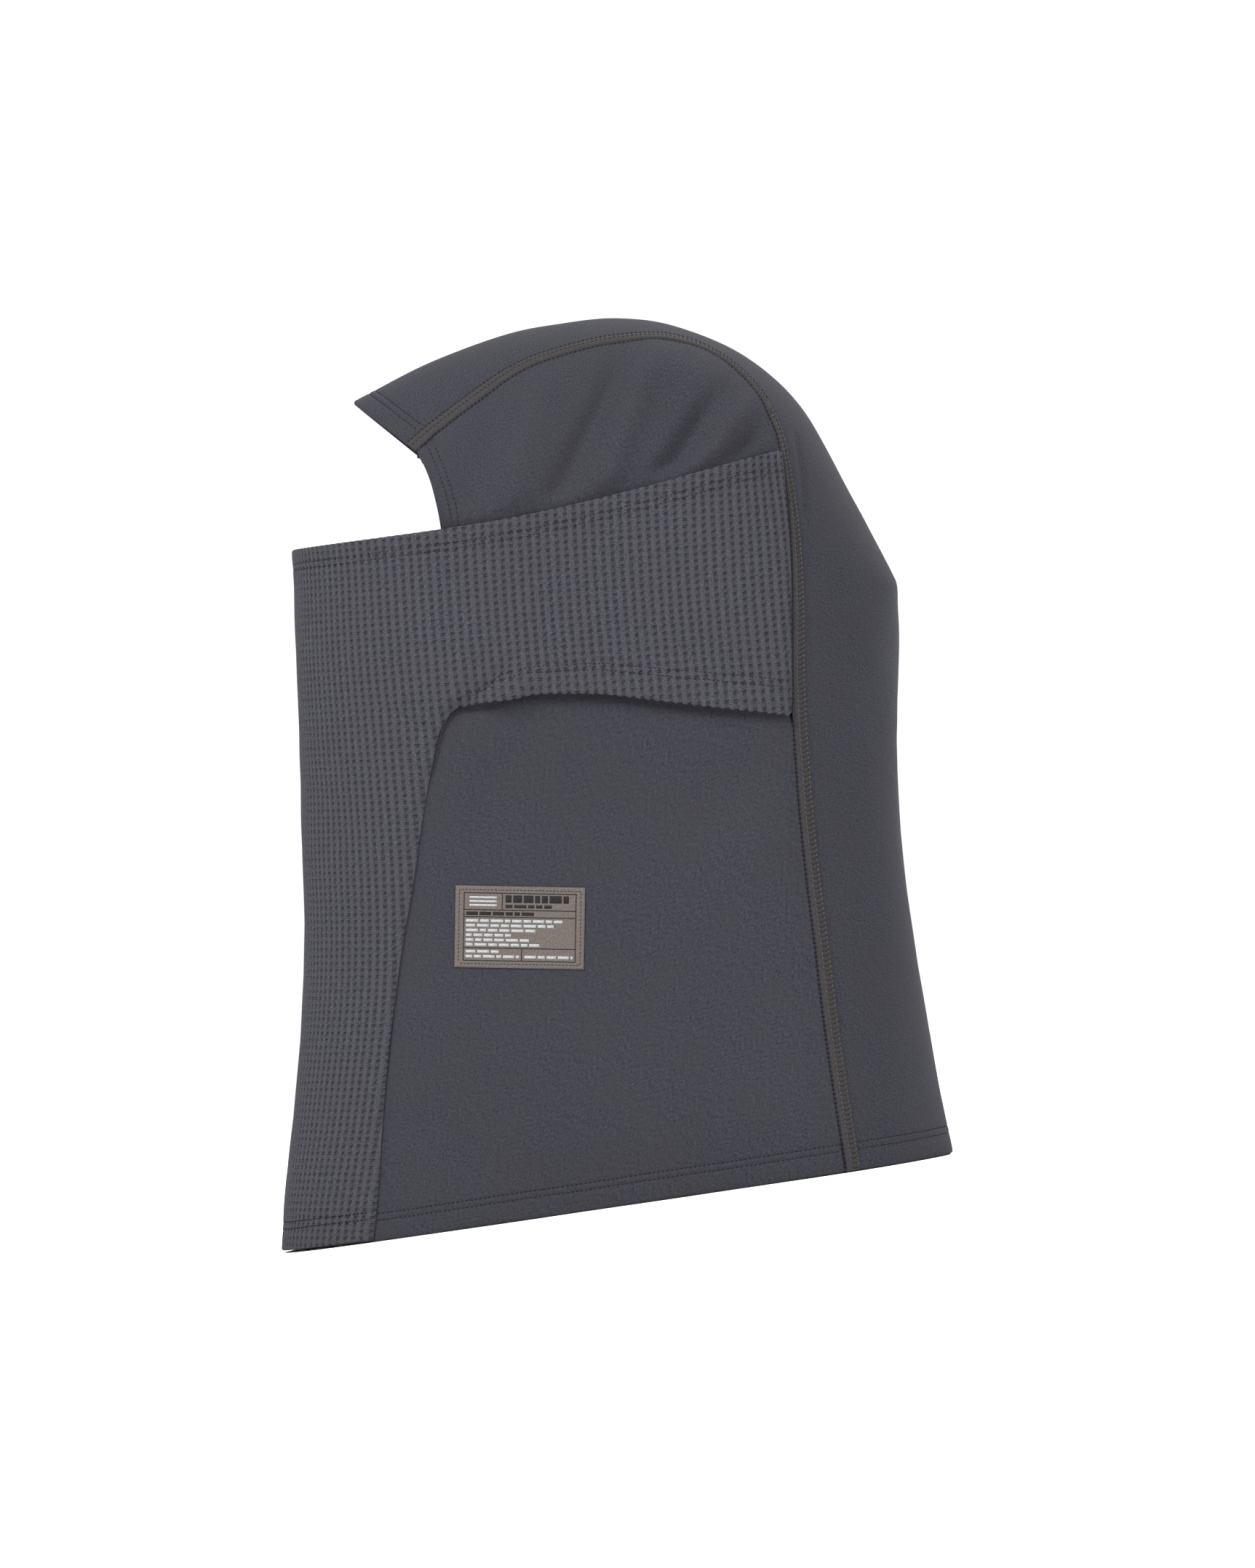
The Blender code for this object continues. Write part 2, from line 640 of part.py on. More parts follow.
clear_scene()
PARTS = new_collection("balaclava")


def main():
    crown = crown_grid(crown_back_sheet())
    side = thin(side_sheet(), SEAM_STATIONS, SIDE_COLUMNS, SIDE_CROWDING)
    mask_front = thin(lifted(mask_front_sheet(), OUTER_OUT), MASK_ROWS, MASK_FRONT_COLUMNS)
    mask_side = thin(lifted(mask_side_sheet(), OUTER_OUT), MASK_ROWS, MASK_SIDE_COLUMNS)
    bib = thin(lifted(bib_sheet(), OUTER_OUT), BIB_ROWS, BIB_COLUMNS)
    hinge = mask_hinge()
    build_panels(crown, side, mask_front, mask_side, bib, hinge)
    build_crown_seams(crown)
    build_bib_seams(side)
    build_brim_stitches(crown)
    build_face_stitches(side)
    build_mask_stitches(mask_front, mask_side, hinge)
    build_hem_stitches()
    build_label()


main()
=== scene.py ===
import math

import bpy
import numpy as np
from mathutils import Matrix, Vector
from mathutils.geometry import delaunay_2d_cdt


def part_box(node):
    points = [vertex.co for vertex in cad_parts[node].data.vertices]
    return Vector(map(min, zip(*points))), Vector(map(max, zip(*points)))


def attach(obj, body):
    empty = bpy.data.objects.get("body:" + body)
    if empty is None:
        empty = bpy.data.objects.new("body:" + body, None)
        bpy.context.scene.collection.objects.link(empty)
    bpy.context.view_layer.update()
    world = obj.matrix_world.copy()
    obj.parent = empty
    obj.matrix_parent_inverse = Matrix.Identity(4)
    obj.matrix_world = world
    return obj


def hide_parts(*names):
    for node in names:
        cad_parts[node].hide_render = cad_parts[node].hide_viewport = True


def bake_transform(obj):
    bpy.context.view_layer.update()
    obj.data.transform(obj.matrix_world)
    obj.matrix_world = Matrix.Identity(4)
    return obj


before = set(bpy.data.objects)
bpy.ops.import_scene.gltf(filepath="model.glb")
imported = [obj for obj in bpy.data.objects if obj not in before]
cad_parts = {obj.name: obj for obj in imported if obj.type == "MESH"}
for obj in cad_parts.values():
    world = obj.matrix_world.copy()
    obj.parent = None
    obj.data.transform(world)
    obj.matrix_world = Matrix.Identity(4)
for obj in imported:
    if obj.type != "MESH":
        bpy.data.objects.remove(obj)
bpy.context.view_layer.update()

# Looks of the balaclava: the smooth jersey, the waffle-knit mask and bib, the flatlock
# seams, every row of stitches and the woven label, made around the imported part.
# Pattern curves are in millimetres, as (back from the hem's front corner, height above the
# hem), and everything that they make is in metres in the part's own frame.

MM = 0.001
MIRROR = np.array([-1, 1, 1])  # across the middle of the hood

# ---- sizes read from the frame -----------------------------------------------------------
PATTERN_HEIGHT = 361.4
PATTERN_DEPTH = 292.5
HOOD_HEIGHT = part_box("crown_back_panel")[1][2]
HOOD_DEPTH = 2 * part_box("crown_back_panel")[1][1]
HEM_HALF_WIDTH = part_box("side_panel_left")[1][0]
LABEL_CENTRE = (np.array(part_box("woven_label")[0]) + np.array(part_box("woven_label")[1])) / 2

# ---- the form between the outlines, as in the part ------------------------------------------
ROUNDING = 0.068  # how far in from an outline the cloth reaches its full width
FULLNESS = 2.25  # exponent of the bulge: 2 is an ellipse, more is squarer
WIDEST_BACK = 0.200  # where the hood is widest, back from the hem's front corner
FRONT_TAPER = 0.14
FRONT_REACH = 0.150
BACK_TAPER = 0.10
BACK_REACH = 0.092

# ---- cloth ------------------------------------------------------------------------------------
JERSEY = 0.0012
WAFFLE = 0.0018
LAYER_GAP = 0.00075
TURNED_HEM = 0.0009  # extra thickness where an edge is folded in and sewn
BIB_LAP = 7.0  # how far the side panels reach in behind the bib, in pattern millimetres
SEAM_WIDTH = 0.0062
SEAM_SETBACK = 0.0007
SEAM_THICK = 0.0006

# ---- stitch rows, as distances from the edge that they follow ------------------------------------
BRIM_ROWS = (0.0075, 0.0103)
FACE_ROWS = (0.0055, 0.0085)
MASK_TOP_ROWS = (0.0060, 0.0085)
ARCH_ROWS = (0.0090, 0.0114)
HEM_ROWS = (0.0086, 0.0114)
GROOVE_DEPTH = 0.00032
GROOVE_WIDTH = 0.00045

# ---- waffle knit -----------------------------------------------------------------------------------
RIB_PITCH = 0.00375
PIT_PITCH = 0.00283
COLUMNS_PER_RIB = 4
ROWS_PER_PIT = 2
RIB_DEPTH = 0.00028
PIT_DEPTH = 0.00052

CROWN_AND_BACK = [
    (81.7, 342.5), (115, 353.6), (148, 360.6), (172, 361.4), (195, 360), (218, 353.5),
    (244, 337.5), (264, 313), (279, 275), (286, 255), (291.6, 238.7), (292.4, 234.5),
    (291.5, 226), (289.5, 209), (283.6, 174), (279.4, 138), (278.1, 84), (278.7, 47), (280.2, 0),
]
CROWN_SEAM = [
    (105, 317), (118.7, 325.7), (149.6, 342.4), (179, 348.6), (207, 348.4), (227.8, 342),
    (243.4, 326.6), (252, 306), (252.5, 281), (249.4, 244), (241.7, 188), (238, 134),
    (236.4, 85), (235.4, 39), (235.2, 0),
]
FACE_EDGE = [
    (105, 317), (107.6, 309), (109.2, 300), (110, 284.5), (109, 262), (105, 238), (98, 215),
]
BIB_SEAM = [
    (40.3, 0), (46.5, 25), (53, 55.5), (60.7, 86), (70, 118), (77.6, 141), (85, 166),
    (92.4, 188), (98.4, 203.5), (106, 211),
]
FRONT = [
    (0, 0), (5.7, 24), (14.8, 59), (23.4, 94), (29.5, 130), (34, 165), (38.3, 201),
    (42.7, 237), (48.4, 285.2),
]
FRONT_RUN_ON = [(-9.6, -40)] + FRONT + [(54.5, 333)]  # run on past both ends
FACE_FRONT = [(46, 211), (59, 250), (66, 285), (67, 317), (64, 345)]
MASK_TOP = [
    (48.4, 285.2), (80, 284.6), (110, 284.3), (138.6, 284.7), (168.3, 286.6), (204.6, 290.2),
    (234.7, 294), (252.2, 296),
]
ARCH = [
    (106, 211), (116.7, 210.6), (128, 211.4), (139, 211.6), (164, 208), (177, 204.7),
    (202.5, 197.7), (228, 191), (241.3, 187.5),
]
HALF_WIDTHS = [
    (0, 84), (25, 81.5), (60, 77), (100, 73.5), (140, 72), (170, 73), (210, 76), (250, 79),
    (300, 80), (330, 80), (365, 80),
]
WIDTH_SCALE = HEM_HALF_WIDTH / HALF_WIDTHS[0][1]


# ======== curves and the bulged form =========================================================


def spline(points, per_span=10):
    """Catmull-Rom curve: each span is the cubic through its two points that leaves each of them
    along the line between that point's neighbours."""
    points = np.asarray(points, float)
    ends = np.vstack([2 * points[0] - points[1], points, 2 * points[-1] - points[-2]])
    t = np.linspace(0, 1, per_span, endpoint=False)[:, None]
    spans = [
        b + (c - a) / 2 * t + (2 * a - 5 * b + 4 * c - d) / 2 * t**2
        + (3 * b - a - 3 * c + d) / 2 * t**3
        for a, b, c, d in zip(ends[:-3], ends[1:-2], ends[2:-1], ends[3:])
    ]
    return np.vstack(spans + [points[-1:]])


def placed(points):
    """Pattern millimetres to metres in the hood's side view, as (frame y, frame z)."""
    points = np.asarray(points, float)
    back = (points[..., 0] / PATTERN_DEPTH - 0.5) * HOOD_DEPTH
    up = points[..., 1] / PATTERN_HEIGHT * HOOD_HEIGHT
    return np.stack([back, up], axis=-1)


def unplaced(line):
    """Metres in the side view back to pattern millimetres."""
    back = (line[..., 0] / HOOD_DEPTH + 0.5) * PATTERN_DEPTH
    up = line[..., 1] / HOOD_HEIGHT * PATTERN_HEIGHT
    return np.stack([back, up], axis=-1)


def curve(points):
    return placed(spline(points))


def lengths(path):
    return np.concatenate([[0], np.cumsum(np.linalg.norm(np.diff(path, axis=0), axis=1))])


def sampled(table, along, places):
    """A table's columns at places, where along gives the place of each of its rows."""
    return np.column_stack([np.interp(places, along, axis) for axis in table.T])


def resample(path, shares):
    """The points at these shares of the path's length."""
    along = lengths(path)
    return sampled(path, along, shares * along[-1])


def smoothstep(x):
    """0 below 0, 1 above 1, and between them 3x squared less 2x cubed."""
    x = np.clip(x, 0, 1)
    return x * x * (3 - 2 * x)


def unit(vectors):
    return vectors / np.maximum(np.linalg.norm(vectors, axis=-1, keepdims=True), 1e-12)


def distance_to(paths, points, batch=2048):
    """Distance from each 2-D point to the nearest of the open paths, segment by segment."""
    starts = np.vstack([path[:-1] for path in paths])
    spans = np.vstack([path[1:] - path[:-1] for path in paths])
    by_square = spans / np.maximum((spans**2).sum(-1, keepdims=True), 1e-18)
    found = np.empty(len(points))
    for first in range(0, len(points), batch):
        some = points[first:first + batch]
        x = some[:, :1] - starts[:, 0]
        y = some[:, 1:] - starts[:, 1]
        share = np.clip(x * by_square[:, 0] + y * by_square[:, 1], 0, 1)
        x -= share * spans[:, 0]
        y -= share * spans[:, 1]
        found[first:first + batch] = np.sqrt((x * x + y * y).min(1))
    return found


def half_width(line):
    """Half the hood's width: a curve over the height, less a square of the distance ahead of
    and behind the widest place."""
    widths = spline(HALF_WIDTHS)
    base = np.interp(line[:, 1] / HOOD_HEIGHT * PATTERN_HEIGHT, widths[:, 0], widths[:, 1])
    widest = WIDEST_BACK - HOOD_DEPTH / 2
    ahead = np.clip((widest - line[:, 0]) / FRONT_REACH, 0, None)
    behind = np.clip((line[:, 0] - widest) / BACK_REACH, 0, None)
    return base * WIDTH_SCALE * (1 - FRONT_TAPER * ahead**2 - BACK_TAPER * behind**2)


def bulge(outline, line):
    """X of side-view points: a quarter of a superellipse from the outline inwards."""
    share = np.clip(distance_to(outline, line) / ROUNDING, 0, 1)
    return half_width(line) * (1 - (1 - share) ** FULLNESS) ** (1 / FULLNESS)


OUTER_OUT = LAYER_GAP + WAFFLE
SET_IN = np.array([OUTER_OUT, 0])
BACK_OUTLINE = curve(CROWN_AND_BACK)
FRONT_OUTLINE = curve(FRONT_RUN_ON) + SET_IN
THROAT_AND_FACE = curve(FRONT[:-2] + FACE_FRONT) + SET_IN
HOOD_OUTLINE = (BACK_OUTLINE, THROAT_AND_FACE)
MASK_OUTLINE = (BACK_OUTLINE, FRONT_OUTLINE)
DENSE = 420


def rows_of(starts, ends, outline, both_sides=False):
    """One dense row for each pair of ends, bulged to the +X side, with its samples packed as a
    square towards the start. With both_sides it runs from the -X end over the outline."""
    reach = np.linspace(0, 1, DENSE) ** 2
    lines = starts[:, None, :] + (ends - starts)[:, None, :] * reach[:, None]
    x = bulge(outline, lines.reshape(-1, 2)).reshape(len(starts), DENSE)
    rows = np.dstack([x, lines])
    if both_sides:
        rows[:, 0, 0] = 0
        rows = np.concatenate([rows[:, :0:-1] * MIRROR, rows], axis=1)
    return rows


# ======== folds that every layer shares =======================================================

UPPER_FOLDS = [  # (start, end, half width, depth) in pattern millimetres; depth under 0 is a ridge
    ((200, 352), (154, 282), 5.5, 4.0),
    ((214, 355), (170, 276), 6.5, -3.6),
    ((240, 333), (182, 268), 5.0, 4.8),
    ((249, 325), (193, 264), 4.6, -3.2),
    ((254, 316), (203, 266), 4.0, 3.4),
    ((168, 350), (134, 282), 10.0, -3.2),
    ((148, 342), (118, 284), 9.0, 2.2),
]
FOLDS = [
    ((236, 176), (196, 150), 13.0, 1.6),
    ((236, 150), (186, 112), 15.0, -1.4),
    ((224, 96), (190, 40), 18.0, 1.2),
    ((120, 196), (112, 150), 10.0, 1.2),
    ((62, 60), (88, 14), 11.0, 1.6),
    ((74, 104), (104, 52), 14.0, -1.2),
    ((292, 236), (258, 222), 9.0, 1.8),
    ((288, 206), (256, 200), 9.0, -1.4),
    ((284, 182), (254, 164), 10.0, 1.2),
    ((260.4, 306), (260.6, 284), 1.3, 0.8),
    ((261.0, 292), (258.6, 262), 1.3, 0.8),
]
FLUTES = 9  # soft waves round the hem
FLUTE_HEIGHT = 120.0  # they fade out at this height
FLUTE_DEPTH = 1.1
RIPPLE = 0.35


def folds(points, lines=FOLDS):
    """Outward displacement in metres, the same for every layer of cloth. Each fold is a line in
    the side view with a bell-shaped section that fades to nothing at both of its ends. The
    flutes are cosines of the angle round the neck, fading with the square of the height left
    below FLUTE_HEIGHT. The ripple is a product of two long sines, with a third added to it."""
    flat = unplaced(points[..., 1:])
    total = np.zeros(points.shape[:-1])
    for start, end, width, depth in lines:
        start = np.array(start, float)
        run = np.array(end, float) - start
        long = np.linalg.norm(run)
        away = flat - start
        share = (away @ run) / long**2
        side = (away @ np.array([-run[1], run[0]])) / long
        fade = smoothstep(share / 0.35) * smoothstep((1.15 - share) / 0.5)
        total -= depth * fade * np.exp(-((side / width) ** 2))
    if lines is not FOLDS:
        return total * MM
    angle = np.arctan2(points[..., 0], points[..., 1])
    low = np.clip(1 - flat[..., 1] / FLUTE_HEIGHT, 0, 1) ** 2
    total += FLUTE_DEPTH * low * np.cos(FLUTES * angle)
    back, up = flat[..., 0], flat[..., 1]
    total += RIPPLE * np.sin(back / 17 + up / 23) * np.sin(up / 31 - back / 41 + 1)
    total += RIPPLE * 0.6 * np.sin(up / 13 + back / 57 + 2 * np.sign(points[..., 0]))
    return total * MM


def upper_folds(points):
    """Folds of the smooth cloth over the ear. They die out on the way down to the mask's top
    edge, which lies flat across them."""
    flat = unplaced(points[..., 1:])
    line = spline(MASK_TOP)
    over = flat[..., 1] - np.interp(flat[..., 0], line[:, 0], line[:, 1])
    return folds(points, UPPER_FOLDS) * smoothstep(over / 9)


def normals_of(grid):
    """Unit normals of a grid of points, turned to face away from the middle of the hood."""
    normal = unit(np.cross(np.gradient(grid, axis=1), np.gradient(grid, axis=0)))
    outwards = ((grid - [0, 0, HOOD_HEIGHT / 2]) * normal).sum()
    return normal if outwards > 0 else -normal


def at(grid, rows, columns):
    """Values of a grid at fractional places, both as shares from 0 to 1, by bilinear blending."""
    r, c = np.broadcast_arrays(np.asarray(rows, float), np.asarray(columns, float))
    r = np.clip(r, 0, 1) * (grid.shape[0] - 1)
    c = np.clip(c, 0, 1) * (grid.shape[1] - 1)
    r0 = np.minimum(r.astype(int), grid.shape[0] - 2)
    c0 = np.minimum(c.astype(int), grid.shape[1] - 2)
    fr = (r - r0)[..., None]
    fc = (c - c0)[..., None]
    low = grid[r0, c0] * (1 - fc) + grid[r0, c0 + 1] * fc
    high = grid[r0 + 1, c0] * (1 - fc) + grid[r0 + 1, c0 + 1] * fc
    return low * (1 - fr) + high * fr


# ======== meshes ==============================================================================


def grid_faces(index):
    """Quads between neighbouring entries of a table of vertex numbers."""
    corners = (index[:-1, :-1], index[:-1, 1:], index[1:, 1:], index[1:, :-1])
    return np.stack(corners, axis=-1).reshape(-1, 4)


def make_piece(name, points, faces, material, uv=None):
    """Mesh object from points and a list of face tables with three or four columns. A closed
    mesh that encloses less than nothing is turned, so that its faces point outwards."""
    enclosed = 0.0
    for table in faces:
        for k in range(1, table.shape[1] - 1):
            a, b, c = points[table[:, [0, k, k + 1]]].transpose(1, 0, 2)
            enclosed += np.einsum("ij,ij->i", a, np.cross(b, c)).sum()
    if enclosed < 0:
        faces = [table[:, ::-1] for table in faces]
    mesh = bpy.data.meshes.new(name)
    loops = np.concatenate([table.ravel() for table in faces]).astype(np.int32)
    sizes = np.concatenate([np.full(len(table), table.shape[1], np.int32) for table in faces])
    mesh.vertices.add(len(points))
    mesh.vertices.foreach_set("co", np.ascontiguousarray(points, np.float32).ravel())
    mesh.loops.add(len(loops))
    mesh.loops.foreach_set("vertex_index", loops)
    mesh.polygons.add(len(sizes))
    starts = np.concatenate([[0], np.cumsum(sizes)[:-1]]).astype(np.int32)
    mesh.polygons.foreach_set("loop_start", starts)
    if uv is not None:
        layer = mesh.uv_layers.new(name="cloth")
        layer.data.foreach_set("uv", np.ascontiguousarray(uv[loops], np.float32).ravel())
    mesh.update(calc_edges=True)
    mesh.validate()
    mesh.shade_smooth()
    mesh.materials.append(material)
    obj = bpy.data.objects.new(name, mesh)
    bpy.context.scene.collection.objects.link(obj)
    return obj


def rim_height(thickness, edge):
    """Half the thickness of a cloth near its rim: a quarter circle that is nothing at the rim."""
    half = thickness / 2
    return half * np.sqrt(1 - (1 - np.clip(edge / half, 0, 1)) ** 2)


def cloth_slab(name, grid, normal, thickness, edge, relief, material, uv):
    """Closed cloth with rounded rims. The grid is the outer face. From the middle of the
    thickness the outer wall stands out by rim_height plus the relief, and the inner wall
    stands in by rim_height. Both walls share the rim's vertices."""
    half = thickness / 2
    height = rim_height(thickness, edge)
    middle = grid - half[..., None] * normal
    outer = middle + (height + relief * np.clip(height / half, 0, 1))[..., None] * normal
    inner = middle - height[..., None] * normal
    rows, columns = grid.shape[:2]
    index = np.arange(rows * columns).reshape(rows, columns)
    below = np.full_like(index, -1)
    hidden = np.arange((rows - 2) * (columns - 2)).reshape(rows - 2, -1)
    below[1:-1, 1:-1] = rows * columns + hidden
    below = np.where(below < 0, index, below)
    points = np.vstack([outer.reshape(-1, 3), inner[1:-1, 1:-1].reshape(-1, 3)])
    both_uv = np.vstack([uv.reshape(-1, 2), uv[1:-1, 1:-1].reshape(-1, 2)])
    faces = [grid_faces(index), grid_faces(below)[:, ::-1]]
    return make_piece(name, points, faces, material, both_uv)


def arc_table(grid, axis):
    """Length along the grid's lines in one direction, from the first line to each point."""
    step = np.linalg.norm(np.diff(grid, axis=axis), axis=-1)
    start = np.zeros_like(np.take(step, [0], axis=axis))
    return np.concatenate([start, np.cumsum(step, axis=axis)], axis=axis)


def shares_at(tables, distance):
    """Where each line of points reaches a distance, as a share of the way through its points.
    Each row of the tables holds one line's own distances, rising."""
    shares = np.linspace(0, 1, tables.shape[1])
    return np.array([np.interp(distance, row, shares) for row in tables])


def groove(distance, rows):
    """Relief of sunk stitch rows: a narrow bell-shaped dip at each row's distance from the edge,
    and a slight swell between the rows and on towards the edge."""
    dip = sum(np.exp(-(((distance - row) / GROOVE_WIDTH) ** 2)) for row in rows)
    centre = sum(rows) / len(rows)
    swell = np.exp(-(((distance - centre) / (0.6 * (rows[1] - rows[0]))) ** 2))
    swell = swell + 0.8 * np.exp(-(((distance - 0.55 * rows[0]) / (0.45 * rows[0])) ** 2))
    return 0.00012 * swell - GROOVE_DEPTH * dip


def edge_stops(rows=(), reach=0.014):
    """Distances from an edge at which a cloth has lines of its own: close at the rounded rim and
    on both sides of each stitch row."""
    stops = [0, 0.00008, 0.00025, 0.00045, 0.0006, 0.0012]
    for row in rows:
        stops += [row - 0.0009, row - 0.00045, row, row + 0.00045, row + 0.0009]
    if rows:
        stops += [rows[0] * 0.35, rows[0] * 0.65, reach]
    return np.array(sorted(stops))


def spread(total, head, tail, count):
    """Shares of a length: the head's stops, the tail's stops from the other end, and even steps
    between them. Where the length is short, both sets of stops shrink to fit."""
    room = 0.42 * total
    head = head * min(1, room / head[-1])
    tail = tail * min(1, room / tail[-1])
    middle = np.linspace(head[-1], total - tail[-1], count + 1)[1:-1]
    return np.concatenate([head, middle, total - tail[::-1]]) / total


# ======== materials ============================================================================


LOOP_ARCH = -0.9  # how strongly a loop curves down at both ends
LOOP_LEAN = 1.05  # how strongly it leans, less a little noise
COURSES_PER_PIT = 4  # knitted courses to a row of pits
JERSEY_DARK = (0.0130, 0.0132, 0.0176)
JERSEY_LIGHT = (0.0328, 0.0328, 0.0408)
JERSEY_BROWN = (0.0245, 0.0236, 0.0255)
WAFFLE_DARK = (0.0200, 0.0200, 0.0248)
WAFFLE_LIGHT = (0.0515, 0.0510, 0.0610)
WAFFLE_BROWN = (0.0380, 0.0364, 0.0385)
# near black painted into the waffle's valleys and pits as shade
PAINTED_PIT_SHADE = (0.004, 0.004, 0.006)


def new_material(name, roughness):
    """A dull material with next to no shine."""
    material = bpy.data.materials.new(name)
    material.use_nodes = True
    shader = material.node_tree.nodes["Principled BSDF"]
    shader.inputs["Roughness"].default_value = roughness
    shader.inputs["Specular IOR Level"].default_value = 0.08
    return material, shader


class Weaver:
    """Short calls that add nodes to one material's tree and link them."""

    def __init__(self, material):
        self.tree = material.node_tree

    def node(self, kind, settings=(), **inputs):
        made = self.tree.nodes.new(kind)
        for name, value in dict(settings).items():
            setattr(made, name, value)
        for name, value in inputs.items():
            self.feed(made.inputs[name.replace("_", " ")], value)
        return made

    def feed(self, socket, value):
        if isinstance(value, bpy.types.NodeSocket):
            self.tree.links.new(value, socket)
        else:
            socket.default_value = value

    def math(self, operation, first, second=0.0):
        made = self.tree.nodes.new("ShaderNodeMath")
        made.operation = operation
        self.feed(made.inputs[0], first)
        self.feed(made.inputs[1], second)
        return made.outputs[0]

    def noise(self, vector, scale, detail=3.0, roughness=0.6):
        made = self.node("ShaderNodeTexNoise", Vector=vector, Scale=scale, Detail=detail)
        made.inputs["Roughness"].default_value = roughness
        return made.outputs["Fac"]

    def stretched(self, vector, scale):
        made = self.node("ShaderNodeMapping", Vector=vector)
        made.inputs["Scale"].default_value = scale
        return made.outputs["Vector"]

    def ramp(self, factor, low, high, dark, light):
        """Colour that runs from dark at low to light at high."""
        made = self.node("ShaderNodeMapRange", Value=factor)
        made.inputs["From Min"].default_value = low
        made.inputs["From Max"].default_value = high
        mix = self.tree.nodes.new("ShaderNodeMix")
        mix.data_type = "RGBA"
        self.feed(mix.inputs[0], made.outputs["Result"])
        mix.inputs[6].default_value = (*dark, 1)
        mix.inputs[7].default_value = (*light, 1)
        return mix.outputs[2]

    def shade(self, colour, factor, share, dark):
        """The colour mixed towards dark by share times the factor."""
        mix = self.tree.nodes.new("ShaderNodeMix")
        mix.data_type = "RGBA"
        self.feed(mix.inputs[0], self.math("MULTIPLY", factor, share))
        self.feed(mix.inputs[6], colour)
        mix.inputs[7].default_value = (*dark, 1)
        return mix.outputs[2]

    def bump(self, height, strength, distance, under=None):
        made = self.node("ShaderNodeBump", Height=height, Strength=strength, Distance=distance)
        if under is not None:
            self.feed(made.inputs["Normal"], under)
        return made.outputs["Normal"]


def smooth_jersey():
    """Brushed jersey: fine streaks across the cloth, a mottle of its two yarns, and a slow drift
    of tone."""
    material, shader = new_material("smooth_jersey", 0.96)
    w = Weaver(material)
    cloth = w.node("ShaderNodeTexCoord").outputs["UV"]
    place = w.node("ShaderNodeTexCoord").outputs["Object"]
    streaks = w.noise(w.stretched(cloth, (850, 2700, 1)), 1.0, 4.0, 0.7)
    mottle = w.noise(place, 1900, 3.0, 0.65)
    drift = w.noise(place, 38, 2.0, 0.5)
    mixed = w.math("ADD", w.math("MULTIPLY", streaks, 0.75), w.math("MULTIPLY", mottle, 0.25))
    colour = w.ramp(mixed, 0.425, 0.575, JERSEY_DARK, JERSEY_LIGHT)
    colour = w.shade(colour, soft_mask(w, drift, 0.62, 0.38), 0.24, JERSEY_BROWN)
    w.feed(shader.inputs["Base Color"], colour)
    w.feed(shader.inputs["Normal"], w.bump(mixed, 0.35, 0.0004))
    return material


def waffle_knit():
    """Waffle knit. In the cloth's own map one unit across is a rib and one unit up is a pit. Each pit is a
    pair of short loops in the valley between two ribs. The valleys, and more strongly the loops, are
    painted dark as the shade that falls in the knit's hollows."""
    material, shader = new_material("waffle_knit", 0.96)
    w = Weaver(material)
    cloth = w.node("ShaderNodeTexCoord").outputs["UV"]
    place = w.node("ShaderNodeTexCoord").outputs["Object"]
    wobble = w.noise(place, 420, 3.0, 0.6)
    lean = w.noise(place, 90, 1.0, 0.5)
    split = w.node("ShaderNodeSeparateXYZ", Vector=cloth).outputs
    across = w.math("ADD", split["X"], w.math("MULTIPLY", w.math("SUBTRACT", wobble, 0.5), 0.22))
    beside = w.math("SUBTRACT", w.math("FRACT", across), 0.5)
    from_valley = w.math("ABSOLUTE", beside)
    arched = w.math("MULTIPLY", w.math("MULTIPLY", beside, beside), LOOP_ARCH)
    slanted = w.math("MULTIPLY", beside, w.math("SUBTRACT", w.math("MULTIPLY", lean, 1.2), LOOP_LEAN))
    up = w.math("ADD", w.math("ADD", split["Y"], arched), slanted)
    up = w.math("ADD", up, w.math("MULTIPLY", w.math("SUBTRACT", wobble, 0.5), -0.30))
    from_pit = w.math("SUBTRACT", w.math("FRACT", w.math("ADD", up, 0.5)), 0.5)
    upper = soft_mask(w, w.math("ABSOLUTE", w.math("SUBTRACT", from_pit, 0.12)), 0.02, 0.10)
    lower = soft_mask(w, w.math("ABSOLUTE", w.math("ADD", from_pit, 0.12)), 0.01, 0.09)
    in_valley = soft_mask(w, from_valley, 0.12, 0.33)
    patchy = w.math("ADD", 0.55, w.math("MULTIPLY", w.noise(place, 260, 2.0, 0.6), 0.8))
    loops = w.math("ADD", upper, w.math("MULTIPLY", lower, 0.75))
    loop = w.math("MULTIPLY", w.math("MULTIPLY", in_valley, loops), patchy)
    courses = w.math("SINE", w.math("MULTIPLY", up, 2 * math.pi * COURSES_PER_PIT))
    yarn = w.noise(w.stretched(place, (1300, 1300, 2300)), 1.0, 3.0, 0.65)
    knit = w.math("ADD", yarn, w.math("MULTIPLY", courses, 0.075))
    drift = w.noise(place, 48, 2.0, 0.5)
    colour = w.ramp(knit, 0.36, 0.64, WAFFLE_DARK, WAFFLE_LIGHT)
    colour = w.shade(colour, soft_mask(w, drift, 0.60, 0.40), 0.28, WAFFLE_BROWN)
    # painted shade: the valleys between ribs and the pit loops are mixed towards near black for the shade
    # that falls in them
    colour = w.shade(colour, in_valley, 0.25, PAINTED_PIT_SHADE)
    colour = w.shade(colour, w.math("MINIMUM", loop, 1.0), 0.78, PAINTED_PIT_SHADE)
    w.feed(shader.inputs["Base Color"], colour)
    fine_knit = w.bump(knit, 0.45, 0.0005)
    w.feed(shader.inputs["Normal"], w.bump(w.math("SUBTRACT", 1.0, loop), 0.6, 0.0004, fine_knit))
    return material


